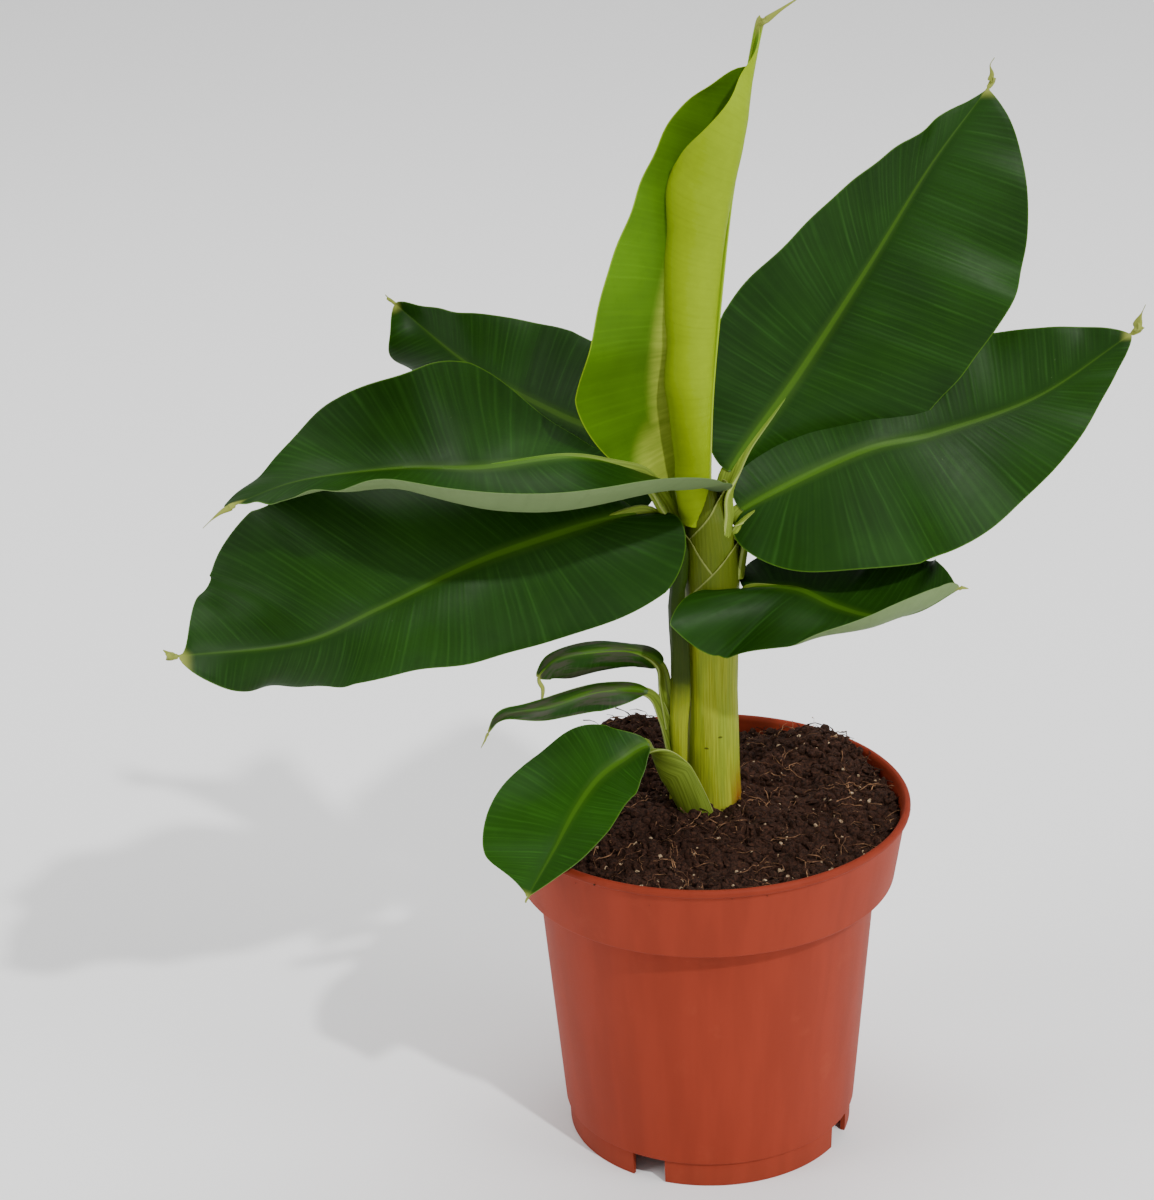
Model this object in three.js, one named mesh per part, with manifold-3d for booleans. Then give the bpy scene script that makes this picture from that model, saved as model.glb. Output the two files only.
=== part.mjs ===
// A young banana plant in a round terracotta-coloured nursery pot.
//
// Units are millimetres and +Z is up.  The viewer stands on the -Y side, and
// the pot's axis is X = Y = 0 while the parts are made; the whole group is
// moved at the end, so that the middle of its box's underside is the origin.
//
// Parts: the pot, the soil in it, the main stem, a side stem with two small
// leaves, and eight more leaves.  Every leaf is a rib that follows a curve,
// with a curved slab on either side of it.

import * as THREE from 'three';
import { mergeVertices } from 'three/addons/utils/BufferGeometryUtils.js';
import loadManifold from 'manifold-3d';

const kernel = await loadManifold();
kernel.setup();
const { Manifold, Mesh } = kernel;

// ---------------------------------------------------------------- sizes ---

const POT_HEIGHT = 124;
const RIM_RADIUS = 70;
const WALL = 1.6;
const FIT = 0.3;              // clear gap between parts that touch
const LEAF_FIT = 0.36;        // the same beside a leaf, whose facets cut its corners

const POT_SIDES = 48;
const STEM_SIDES = 18;

// Outer radii of the pot at its main heights.
const POT = {
  footRadius: 49.9,
  footHeight: 9.3,
  bodyBottomRadius: 51.2,
  bodyTopRadius: 58.4,
  bandBottom: 97,
  bandBottomRadius: 65.2,
  bandTopRadius: 68.6,
  lipHeight: 2.6,
  floorTop: 11.2,
};

// Openings cut up into the foot ring, and the drain holes in the floor.
const NOTCH = { width: 12, height: 9, depth: 10, firstAngle: -118, count: 4 };
const DRAIN = { radius: 4.5, ring: 34, depth: 8, sides: 12, count: 4 };

const SOIL_LEVEL = 118.5;

// The main stem: [x, y, z, radius] of its axis, from the soil upward.
const STEM = [
  [3.2, 0, 113, 9.9],
  [3.1, 0, 120, 9.6],
  [2.9, 0, 135, 9],
  [2.8, 0, 165, 8.7],
  [2.9, 0, 190, 9.3],
  [3.1, 0, 205, 9.7],
  [2.9, 0.3, 216, 9.6],
  [2.2, 0.8, 226, 8.4],
  [1.6, 1.5, 234, 6.2],
  [1.2, 2.2, 240, 4],
];

// The side stem stands against the main stem's left side.
const SIDE_STEM = [
  [-9.6, -3.4, 113, 3],
  [-9.4, -3.6, 125, 3],
  [-8.9, -4.8, 140, 2.8],
  [-8.8, -5.2, 152, 3],
  [-8.5, -5.6, 158, 3.2],
  [-8.1, -6, 164, 3.4],
  [-7.9, -6.4, 171, 3.3],
  [-7.9, -6.6, 180, 3.25],
  [-8.4, -6.2, 190, 3.2],
  [-8.8, -5.6, 197, 2.9],
  [-8.6, -5.3, 202, 2.5],
];

// Each leaf:
//   stalk   curve of the stalk, from the stem to the blade
//   rib     curve of the midrib, from the blade's base to its tip
//   across  way the right half points, at the base and at the tip
//   stalkAcross   the same for a stalk that is turned
//   thickness, stations, columns   of the slabs, where they are not the usual
//   ribSize half-width and half-height of the stalk and rib along the leaf
//   left, right: one half of the blade each
//     width   greatest width from rib to edge
//     belly   where along the rib (0..1) the half is widest
//     blunt   how square the base is; taper and point shape the tip
//     slant   degrees that the side veins lean to the tip, base to tip
//     fold    degrees the half rises from `across`, base to tip
//     curl    degrees it bends upward from rib to edge, base to tip
//     coil    or the radius it is rolled up with, base to tip
//     span    part of the rib that carries the half
const LEAVES = {
  leaf_spear: {
    stalk: [[1.5, 2.2, 214], [1.4, 2.4, 219]],
    rib: [[1.6, 2.6, 225], [3, 3.5, 262], [6.5, 5, 298], [10.5, 6, 331], [15, 5.5, 358], [20.2, 4, 386]],
    across: [[0.9, -0.4, 0], [0.9, -0.4, -0.1]],
    ribSize: [[3, 3], [2.6, 2.4], [2, 1.8], [1.3, 1.2]],
    left: {
      width: 45.6, belly: 0.27, blunt: 1.4, taper: 1, point: 0.5, span: [0.11, 0.92],
      slant: [-40, -21, 8, 14, -15], fold: [14, 18, 25, 18, 16], curl: [28, 27, 35, 30, 27],
    },
    right: {
      width: 37.2, belly: 0.64, blunt: 3, taper: 1, point: 0.98,
      slant: [-10, -4, 11, 20, 45], fold: [33, 41, 66, 37, 38], coil: [4.7, 6.8, 9.3, 10.7, 5.1],
    },
  },
  leaf_upper_right: {
    stalk: [[4.5, -3, 211], [7, -1.5, 226]],
    rib: [[10, 3, 240.5], [34, 18, 269], [57, 30, 300], [79, 42, 331], [99, 52, 354]],
    across: [[0.8, -0.3, -0.5], [0.8, -0.3, -0.5]],
    stalkAcross: [0.3, -0.95, 0],
    ribSize: [[4.4, 4.2], [2.7, 2.4], [2, 1.8], [1.2, 1.1]],
    left: {
      width: 33.6, belly: 0.27, blunt: 1.3, taper: 2, point: 1.05,
      slant: [-35, -3, 34, 60, 75], fold: [10, 18, 24, 26, 1], curl: [-1, 13, 21, 20, -10],
    },
    right: {
      width: 47.9, belly: 0.53, blunt: 2.7, taper: 2.2, point: 1.06,
      slant: [2, 13, 12, 11, 41], fold: [-60, -6, 3, 2, 10], curl: [-88, -34, -19, -18, -7],
    },
  },
  leaf_right: {
    stalk: [[10.5, 0, 205], [12.5, 0.5, 217]],
    rib: [[14, 2, 227], [53, 12, 242.5], [80, 18, 246.5], [114, 24, 256], [145, 29, 275]],
    across: [[0.1, -0.55, -0.8], [0.1, -0.55, -0.8]],
    ribSize: [[4, 3.6], [2.8, 2.6], [2, 1.8], [1.2, 1.1]],
    left: {
      width: 31.2, belly: 0.47, blunt: 1.9, taper: 1.9, point: 0.93,
      slant: [-20, 5, 2, 23, 43], fold: [13, 0, 12, 19, 17], curl: [17, -26, -24, -14, -9],
    },
    right: {
      width: 46.2, belly: 0.31, blunt: 1.4, taper: 1, point: 0.8,
      slant: [-78, -12, 26, 56, 57], fold: [-3, 17, 0, 0, 4], curl: [-16, 5, -14, -21, -20],
    },
  },
  leaf_lower_right: {
    stalk: [[11.5, -2.5, 186], [12.5, -4, 194]],
    rib: [
      [14.5, -6, 202], [30, -12, 204.5], [43, -19, 200.5], [55, -25, 199], [68, -30, 202.5],
      [80.5, -32, 210.5],
    ],
    across: [[-0.1, -0.87, -0.5], [-0.1, -0.87, -0.5]],
    ribSize: [[2.8, 2.8], [2.2, 2], [1.5, 1.4], [1, 1]],
    left: {
      width: 26.6, belly: 0.61, blunt: 2.1, taper: 3.2, point: 1.18,
      slant: [-44, -19, 13, 14, 23], fold: [-9, -16, -6, -12, -4], curl: [3, 0, 14, 5, 12],
    },
    right: {
      width: 37.9, belly: 0.12, blunt: 1.1, taper: 1, point: 0.72,
      slant: [-69, -28, 3, 48, 70], fold: [75, -6, -1, 36, 58], curl: [1, -20, 70, 120, 120],
    },
  },
  leaf_upper_left: {
    stalk: [[-6.5, 0, 219], [-12, -1, 232]],
    rib: [
      [-20, -3, 243], [-42, -7, 251], [-72, -12, 250], [-97, -16, 252], [-128, -22, 251],
      [-149, -28, 246],
    ],
    across: [[0.1, 0.7, 0.7], [0.1, 0.7, 0.7]],
    ribSize: [[4.6, 3.8], [2.6, 2.4], [2, 1.8], [1.2, 1.1]],
    left: {
      width: 57, belly: 0.3, blunt: 2.3, taper: 1.2, point: 1.03,
      slant: [-105, -39, 26, 50, 65], fold: [23, -4, 28, 36, 42], curl: [101, 104, 63, 16, -23],
    },
    right: {
      width: 37.7, belly: 0.38, blunt: 1.2, taper: 1, point: 0.5,
      slant: [-36, -21, 24, 48, 66], fold: [-56, -49, 9, -25, -27], curl: [13, 10, 54, -20, -75],
    },
  },
  leaf_left: {
    stalk: [[-9.2, -2, 204], [-13.5, -3, 219]],
    rib: [[-21, -4, 229], [-66, -16, 222], [-105, -27, 208.5], [-131, -36, 201], [-169, -44, 201]],
    across: [[0.05, 0.45, 0.85], [0.05, 0.45, 0.85]],
    ribSize: [[4, 3.6], [2.8, 2.6], [2, 1.8], [1.2, 1.1]],
    left: {
      width: 37.8, belly: 0.15, blunt: 1.4, taper: 1, point: 0.55,
      slant: [-92, -10, 38, 26, 1], fold: [23, 5, 24, -16, 12], curl: [29, -42, -53, -57, 14],
    },
    right: {
      width: 53, belly: 0.48, blunt: 1.4, taper: 3.2, point: 1.53,
      slant: [4, 28, 30, 29, 40], fold: [-10, -8, 11, -20, 1], curl: [-33, -27, -7, -40, -17],
    },
  },
  leaf_back_left: {
    stalk: [[-4, 7, 213], [-7.5, 10, 228]],
    rib: [[-13, 15, 243], [-45, 36, 251], [-75, 56, 263], [-101, 70, 282]],
    across: [[0.3, 0.2, 0.93], [0.3, 0.2, 0.93]],
    ribSize: [[3, 3], [2.6, 2.4], [2, 1.8], [1.2, 1.1]],
    left: {
      width: 36.4, belly: 0.38, blunt: 2, taper: 1.2, point: 0.64,
      slant: [-37, -1, 26, 38, 5], fold: [6, 1, -7, -9, 40], curl: [-12, -26, -38, -25, 64],
    },
    right: {
      width: 28.2, belly: 0.41, blunt: 2, taper: 1.1, point: 0.72,
      slant: [-36, -3, 16, 29, 38], fold: [5, 2, -5, 18, 23], curl: [-14, -19, -23, 16, 36],
    },
  },
  leaf_small_upper: {
    thickness: 1.2,
    stations: 8,
    columns: 3,
    stalk: [[-10.9, -5.2, 153], [-12.9, -5.4, 165]],
    rib: [
      [-14.8, -5.4, 176], [-24, -9, 183], [-38, -13.5, 185], [-49.5, -16.3, 183.4],
      [-55.5, -18.5, 178.5],
    ],
    across: [[0, 0.6, 0.8], [0, 0.8, 0.6]],
    stalkAcross: [0.8, 0.3, 0.4],
    ribSize: [[3, 2.8], [2.4, 2.2], [1.5, 1.4], [1.3, 1.2], [1.3, 1.2]],
    left: {
      width: 12.6, belly: 0.41, blunt: 2.8, taper: 1.8, point: 0.81,
      slant: [-30, -37, 2, 31, 37], fold: [-58, -22, -20, -21, -14], curl: [-120, -112, -93, -76, -44],
    },
    right: {
      width: 4.9, belly: 0.48, blunt: 3.2, taper: 2.3, point: 0.52,
      slant: [-22, -9, 10, 32, 31], fold: [24, -13, -7, -4, 9], curl: [0, -51, -39, -15, 26],
    },
  },
  leaf_small_middle: {
    thickness: 1.2,
    stations: 8,
    columns: 3,
    stalk: [[-10.4, -5.4, 143], [-13.6, -6.2, 156.5]],
    rib: [[-19.2, -7.7, 167], [-35, -13, 170.6], [-52, -19, 168], [-66, -23, 167.3], [-72.5, -25, 162]],
    across: [[0, 0.6, 0.8], [0, 0.8, 0.6]],
    stalkAcross: [0.8, 0.3, 0.4],
    ribSize: [[3, 2.4], [2, 1.8], [1.3, 1.1], [0.9, 0.9], [0.8, 0.8]],
    left: {
      width: 7.2, belly: 0.27, blunt: 1.3, taper: 2, point: 1.18,
      slant: [-30, 15, 44, 34, 15], fold: [21, -10, -11, 3, 33], curl: [31, -14, -20, 0, 52],
    },
    right: {
      width: 4.3, belly: 0.55, blunt: 2.2, taper: 1.4, point: 0.5,
      slant: [-20, 6, 6, 50, -25], fold: [13, 26, 23, 10, 15], curl: [50, 68, 63, 50, 50],
    },
  },
  leaf_small_lower: {
    thickness: 1.2,
    stations: 8,
    columns: 3,
    stalk: [[-2.2, -11.3, 120], [-6, -12.9, 130.5], [-11.4, -13.6, 141.4]],
    rib: [
      [-19, -14.5, 150.6], [-28.5, -19, 147.6], [-37, -27, 144.6], [-44.7, -37, 138.4],
      [-52, -48, 129.5], [-61, -58, 118],
    ],
    across: [[-0.5, 0.7, 0.5], [-0.5, 0.7, 0.5]],
    stalkAcross: [0.8, -0.2, 0.55],
    ribSize: [[5.8, 2.8], [6.3, 2.6], [2.8, 1.6], [1.2, 1], [1, 0.9], [0.8, 0.8]],
    left: {
      width: 14.7, belly: 0.58, blunt: 3.5, taper: 1.9, point: 1.1,
      slant: [16, 6, -14, 0, 0], fold: [11, 15, 6, 17, 16], curl: [28, 16, 0, 13, 16],
    },
    right: {
      width: 27, belly: 0.49, blunt: 1.3, taper: 3.1, point: 1.18,
      slant: [5, -23, -15, 26, 5], fold: [21, 11, -4, 11, 13], curl: [1, -11, -21, -1, 5],
    },
  },
};

const LEAF_THICKNESS = 1.9;   // a hundredth of the longest leaf and a little more
const BLADE_STATIONS = 11;
const BLADE_COLUMNS = 4;
const RIB_STATIONS = 10;
const RIB_SIDES = 6;

// ------------------------------------------------------- vector helpers ---

const add = (a, b) => [a[0] + b[0], a[1] + b[1], a[2] + b[2]];
const sub = (a, b) => [a[0] - b[0], a[1] - b[1], a[2] - b[2]];
const scale = (a, k) => [a[0] * k, a[1] * k, a[2] * k];
const dot = (a, b) => a[0] * b[0] + a[1] * b[1] + a[2] * b[2];
const cross = (a, b) => [
  a[1] * b[2] - a[2] * b[1],
  a[2] * b[0] - a[0] * b[2],
  a[0] * b[1] - a[1] * b[0],
];
const unit = (a) => scale(a, 1 / Math.hypot(...a));
const radians = (degrees) => (degrees * Math.PI) / 180;
const clamp = (value, low, high) => Math.min(high, Math.max(low, value));
const asList = (value) => (Array.isArray(value) ? value : [value]);

// Catmull-Rom blend of four neighbours, for numbers or for vectors.
function blend(a, b, c, d, u) {
  const mix = (p, q, r, s) =>
    0.5 * (2 * q + (r - p) * u + (2 * p - 5 * q + 4 * r - s) * u * u + (3 * q - p - 3 * r + s) * u * u * u);
  const parts = asList(b).map((value, k) => mix(asList(a)[k], value, asList(c)[k], asList(d)[k]));
  return Array.isArray(b) ? parts : parts[0];
}

// Smooth value at t (0..1) through evenly spaced values.
function along(values, t) {
  if (values.length === 1) return values[0];
  const last = values.length - 1;
  const place = clamp(t, 0, 1) * last;
  const i = Math.min(Math.floor(place), last - 1);
  const mirror = (end, next) =>
    Array.isArray(end) ? sub(scale(end, 2), next) : 2 * end - next;
  const before = i > 0 ? values[i - 1] : mirror(values[0], values[1]);
  const after = i + 2 <= last ? values[i + 2] : mirror(values[last], values[last - 1]);
  return blend(before, values[i], values[i + 1], after, place - i);
}

// Value at t on straight lines between evenly spaced pairs.
function alongStraight(pairs, t) {
  const last = pairs.length - 1;
  const place = clamp(t, 0, 1) * last;
  const i = Math.min(Math.floor(place), last - 1);
  return pairs[i].map((value, k) => value + (pairs[i + 1][k] - value) * (place - i));
}

// Points on a curve at even distances; `from` and `to` are control points.
function curveSamples(points, from, to, count) {
  const fine = 40;
  const last = points.length - 1;
  const dense = [];
  for (let i = 0; i <= last * fine; i += 1) dense.push(along(points, i / (last * fine)));
  const lengths = [0];
  for (let i = 1; i < dense.length; i += 1) {
    lengths.push(lengths[i - 1] + Math.hypot(...sub(dense[i], dense[i - 1])));
  }
  const start = lengths[from * fine];
  const end = lengths[to * fine];
  const samples = [];
  for (let i = 0; i <= count; i += 1) {
    const target = start + ((end - start) * i) / count;
    let k = 1;
    while (k < dense.length - 1 && lengths[k] < target) k += 1;
    const part = clamp((target - lengths[k - 1]) / (lengths[k] - lengths[k - 1]), 0, 1);
    const ahead = dense[Math.min(k + 1, dense.length - 1)];
    const behind = dense[Math.max(k - 2, 0)];
    samples.push({
      point: add(dense[k - 1], scale(sub(dense[k], dense[k - 1]), part)),
      tangent: unit(sub(ahead, behind)),
    });
  }
  return { samples, length: end - start };
}

// --------------------------------------------------------- solid makers ---

function solidFrom(vertices, triangles) {
  let volume = 0;
  for (const [a, b, c] of triangles) {
    volume += dot(vertices[a], cross(vertices[b], vertices[c]));
  }
  const facing = volume < 0 ? triangles.map(([a, b, c]) => [a, c, b]) : triangles;
  const mesh = new Mesh({
    numProp: 3,
    vertProperties: new Float32Array(vertices.flat()),
    triVerts: new Uint32Array(facing.flat()),
  });
  mesh.merge();
  return new Manifold(mesh);
}

// Closed body through a row of rings that have the same number of points.
function loft(rings) {
  const sides = rings[0].length;
  const vertices = rings.flat();
  const triangles = [];
  for (let i = 0; i + 1 < rings.length; i += 1) {
    for (let k = 0; k < sides; k += 1) {
      const a = i * sides + k;
      const b = i * sides + ((k + 1) % sides);
      triangles.push([a, b, b + sides], [a, b + sides, a + sides]);
    }
  }
  const centre = (ring) => scale(ring.reduce(add), 1 / sides);
  const foot = vertices.push(centre(rings[0])) - 1;
  const head = vertices.push(centre(rings[rings.length - 1])) - 1;
  const top = (rings.length - 1) * sides;
  for (let k = 0; k < sides; k += 1) {
    const next = (k + 1) % sides;
    triangles.push([foot, next, k], [head, top + k, top + next]);
  }
  return solidFrom(vertices, triangles);
}

// Solid of a closed three.js geometry.
function solidOf(geometry) {
  const bare = geometry.clone();
  bare.deleteAttribute('normal');
  bare.deleteAttribute('uv');
  const merged = mergeVertices(bare, 1e-4);
  const mesh = new Mesh({
    numProp: 3,
    vertProperties: Float32Array.from(merged.attributes.position.array),
    triVerts: Uint32Array.from(merged.index.array),
  });
  return new Manifold(mesh);
}

// Body of revolution about Z from [radius, z] points of its closed section.
function lathe(section, sides) {
  const points = [...section, section[0]].map(([radius, z]) => new THREE.Vector2(radius, z));
  const geometry = new THREE.LatheGeometry(points, sides);
  geometry.rotateX(Math.PI / 2);
  return solidOf(geometry);
}

// Closed slab between an upper and a lower grid of points.
function slab(upper, lower) {
  const rows = upper.length;
  const columns = upper[0].length;
  const vertices = [...upper.flat(), ...lower.flat()];
  const shift = rows * columns;
  const at = (i, k) => i * columns + k;
  const triangles = [];
  for (let i = 0; i + 1 < rows; i += 1) {
    for (let k = 0; k + 1 < columns; k += 1) {
      const [a, b, c, d] = [at(i, k), at(i + 1, k), at(i + 1, k + 1), at(i, k + 1)];
      triangles.push([a, b, c], [a, c, d]);
      triangles.push([a + shift, c + shift, b + shift], [a + shift, d + shift, c + shift]);
    }
  }
  const border = [];
  for (let k = 0; k < columns - 1; k += 1) border.push(at(0, k));
  for (let i = 0; i < rows - 1; i += 1) border.push(at(i, columns - 1));
  for (let k = columns - 1; k > 0; k -= 1) border.push(at(rows - 1, k));
  for (let i = rows - 1; i > 0; i -= 1) border.push(at(i, 0));
  border.forEach((p, n) => {
    const q = border[(n + 1) % border.length];
    triangles.push([p, q, q + shift], [p, q + shift, p + shift]);
  });
  return solidFrom(vertices, triangles);
}

const largestPiece = (solid) =>
  solid.decompose().sort((a, b) => b.volume() - a.volume())[0];

// ------------------------------------------------------------------ pot ---

// Inside radius of the wall under the band, at height z.
function wallInside(z) {
  const rise = (z - POT.footHeight) / (POT.bandBottom - POT.footHeight);
  return POT.bodyBottomRadius + (POT.bodyTopRadius - POT.bodyBottomRadius) * rise - WALL;
}

// Inside radius of the rim band, at height z.
function bandInside(z) {
  const rise = (z - POT.bandBottom) / (POT_HEIGHT - POT.lipHeight - POT.bandBottom);
  return POT.bandBottomRadius + (POT.bandTopRadius - POT.bandBottomRadius) * rise - WALL;
}

function makePot() {
  const footInside = POT.footRadius - WALL;
  const lipUnder = POT_HEIGHT - POT.lipHeight;
  const ledge = POT.bandBottom + WALL;
  const section = [
    [footInside, 0],
    [POT.footRadius, 0],
    [POT.footRadius + 0.3, POT.footHeight],
    [POT.bodyBottomRadius, POT.footHeight],
    [POT.bodyTopRadius, POT.bandBottom],
    [POT.bandBottomRadius, POT.bandBottom],
    [POT.bandTopRadius, lipUnder],
    [RIM_RADIUS - 0.4, lipUnder],
    [RIM_RADIUS, lipUnder + 0.5],
    [RIM_RADIUS, POT_HEIGHT - 0.8],
    [RIM_RADIUS - 0.8, POT_HEIGHT],
    [RIM_RADIUS - 1.8, POT_HEIGHT],
    [RIM_RADIUS - 2.6, POT_HEIGHT - 1],
    [bandInside(lipUnder), lipUnder],
    [bandInside(ledge), ledge],
    [wallInside(ledge), ledge],
    [wallInside(POT.floorTop), POT.floorTop],
    [0, POT.floorTop],
    [0, POT.floorTop - WALL],
    [footInside, POT.floorTop - WALL],
  ];
  let pot = lathe(section, POT_SIDES);
  for (let n = 0; n < NOTCH.count; n += 1) {
    const angle = NOTCH.firstAngle + (360 / NOTCH.count) * n;
    const slot = new THREE.BoxGeometry(NOTCH.depth, NOTCH.width, NOTCH.height + 1);
    slot.translate(POT.footRadius, 0, (NOTCH.height - 1) / 2);
    slot.rotateZ(radians(angle));
    pot = pot.subtract(solidOf(slot));
  }
  for (let n = 0; n < DRAIN.count; n += 1) {
    const angle = NOTCH.firstAngle + 45 + (360 / DRAIN.count) * n;
    const hole = new THREE.CylinderGeometry(DRAIN.radius, DRAIN.radius, DRAIN.depth, DRAIN.sides);
    hole.rotateX(Math.PI / 2);
    hole.translate(DRAIN.ring, 0, POT.floorTop - WALL / 2);
    hole.rotateZ(radians(angle));
    pot = pot.subtract(solidOf(hole));
  }
  return pot;
}

// ----------------------------------------------------------------- stems ---

// A round stem through [x, y, z, radius] rows, made wider by `grow`.
function stemSolid(rows, grow = 0) {
  const rings = rows.map(([x, y, z, radius], i) => {
    const end = i === 0 ? -grow : i === rows.length - 1 ? grow : 0;
    const ring = [];
    for (let k = 0; k < STEM_SIDES; k += 1) {
      const angle = (2 * Math.PI * k) / STEM_SIDES;
      const reach = radius + grow;
      ring.push([x + reach * Math.cos(angle), y + reach * Math.sin(angle), z + end]);
    }
    return ring;
  });
  return loft(rings);
}

// ------------------------------------------------------------------ soil ---

// Soft bump of the soil's surface around (x, y).
const bump = (x, y, cx, cy, height, spread) =>
  height * Math.exp(-((x - cx) ** 2 + (y - cy) ** 2) / (2 * spread * spread));

function soilHeight(x, y) {
  const edge = Math.hypot(x, y) / RIM_RADIUS;
  let z = SOIL_LEVEL + 2.5 * (1 - edge);
  z += bump(x, y, -24, 42, 14, 13);
  z += bump(x, y, 42, 38, 9, 12);
  z += bump(x, y, -20, -16, 3, 12);
  z += bump(x, y, 0, 0, 1.5, 14);
  z += 0.8 * Math.sin(x / 7) * Math.cos(y / 6);
  return z;
}

function makeSoil() {
  const spokes = 28;
  const bottom = POT.floorTop + FIT;
  const ledge = POT.bandBottom + WALL + FIT;
  const radii = [63.5, 52, 40, 28, 15];
  const ringAt = (radius, height) => {
    const ring = [];
    for (let k = 0; k < spokes; k += 1) {
      const angle = (2 * Math.PI * k) / spokes;
      const x = radius * Math.cos(angle);
      const y = radius * Math.sin(angle);
      ring.push([x, y, height(x, y)]);
    }
    return ring;
  };
  const level = (z) => () => z;
  const edgeLevel = SOIL_LEVEL - 1.5;
  const rings = [
    ringAt(wallInside(bottom) - FIT, level(bottom)),
    ringAt(wallInside(ledge) - FIT, level(ledge - 0.01)),
    ringAt(bandInside(ledge) - FIT, level(ledge)),
    ringAt(bandInside(edgeLevel) - FIT, level(edgeLevel)),
    ...radii.map((radius) => ringAt(radius, soilHeight)),
  ];
  return loft(rings);
}

// ---------------------------------------------------------------- leaves ---

// Width of one half at t, as a share of its greatest width.
function halfShape(half, share) {
  const [first, last] = half.span ?? [0, 1];
  const t = clamp((share - first) / (last - first), 0, 1);
  if (t < half.belly) {
    const back = (half.belly - t) / half.belly;
    return (1 - back ** half.blunt) ** (1 / half.blunt);
  }
  const ahead = (t - half.belly) / (1 - half.belly);
  return Math.max(0, 1 - ahead ** half.taper) ** half.point;
}

// Right-hand and upward directions beside the rib at t; `turned` is 1 down on
// a stalk that is turned, and 0 in the blade.
function sideways(leaf, t, tangent, turned = 0) {
  const straight = along(leaf.across.map(unit), t);
  const stalk = unit(leaf.stalkAcross ?? straight);
  const hint = add(straight, scale(sub(stalk, straight), turned));
  const right = unit(sub(hint, scale(tangent, dot(hint, tangent))));
  return { right, up: cross(right, tangent) };
}

// Middle surface of one half: rows run along the rib, columns out to the edge.
function halfGrid(leaf, side, grow) {
  const half = leaf[side];
  const sign = side === 'right' ? 1 : -1;
  const curve = [...leaf.stalk, ...leaf.rib];
  const fine = 200;
  const { samples, length } = curveSamples(curve, leaf.stalk.length, curve.length - 1, fine);
  const stations = leaf.stations ?? BLADE_STATIONS;
  const columns = leaf.columns ?? BLADE_COLUMNS;
  const rows = [];
  for (let i = 0; i < stations; i += 1) {
    const share = (i + 0.35) / (stations - 0.5);
    const end = i === 0 ? -1 : i === stations - 1 ? 1 : 0;
    const t = clamp(share ** 1.3 + (2 * end * grow) / length, 0, 1);
    const { point, tangent } = samples[Math.round(t * fine)];
    const { right, up } = sideways(leaf, t, tangent);
    const width = Math.max(half.width * halfShape(half, t), 0.6) + grow;
    const slant = radians(along(half.slant, t));
    const fold = radians(along(half.fold, t));
    const bend = half.coil ? width / along(half.coil, t) : radians(along(half.curl, t));
    const steps = 24;
    const row = [point];
    let place = point;
    for (let k = 0; k < steps; k += 1) {
      const angle = fold + (bend * (k + 0.5)) / steps;
      const out = add(scale(right, sign * Math.cos(angle)), scale(up, Math.sin(angle)));
      const step = add(scale(out, Math.cos(slant)), scale(tangent, Math.sin(slant)));
      place = add(place, scale(step, width / steps));
      if ((k + 1) % (steps / columns) === 0) row.push(place);
    }
    rows.push(row);
  }
  return rows;
}

// One half of the blade as a slab around its middle surface.
function halfSolid(leaf, side, grow) {
  const middle = halfGrid(leaf, side, grow);
  const reach = (leaf.thickness ?? LEAF_THICKNESS) / 2 + grow;
  const rows = middle.length;
  const columns = middle[0].length;
  const normals = middle.map((row, i) => row.map((point, k) => {
    const lengthways = sub(middle[Math.min(i + 1, rows - 1)][k], middle[Math.max(i - 1, 0)][k]);
    const outward = sub(row[Math.min(k + 1, columns - 1)], row[Math.max(k - 1, 0)]);
    return unit(cross(outward, lengthways));
  }));
  const shifted = (amount) => middle.map((row, i) =>
    row.map((point, k) => add(point, scale(normals[i][k], amount))));
  return slab(shifted(reach), shifted(-reach));
}

// Stalk and midrib in one tapering tube with an oval section.
function ribSolid(leaf, grow) {
  const curve = [...leaf.stalk, ...leaf.rib];
  const { samples, length } = curveSamples(curve, 0, curve.length - 1, RIB_STATIONS);
  const base = curveSamples(curve, 0, leaf.stalk.length, 1).length / length;
  const rings = samples.map(({ point, tangent }, i) => {
    const t = i / RIB_STATIONS;
    const turned = clamp((base * 1.15 - t) / (base * 0.55), 0, 1);
    const { right, up } = sideways(leaf, t, tangent, turned);
    const [wide, high] = alongStraight(leaf.ribSize, t);
    const end = i === 0 ? -grow : i === RIB_STATIONS ? grow : 0;
    const middle = add(point, scale(tangent, end));
    const ring = [];
    for (let k = 0; k < RIB_SIDES; k += 1) {
      const angle = (2 * Math.PI * k) / RIB_SIDES;
      const offset = add(
        scale(right, (wide + grow) * Math.cos(angle)),
        scale(up, (high + grow) * Math.sin(angle)),
      );
      ring.push(add(middle, offset));
    }
    return ring;
  });
  return loft(rings);
}

function leafSolid(leaf, grow = 0) {
  return Manifold.union([
    ribSolid(leaf, grow),
    halfSolid(leaf, 'left', grow),
    halfSolid(leaf, 'right', grow),
  ]);
}

// ----------------------------------------------------------- whole plant ---

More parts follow.
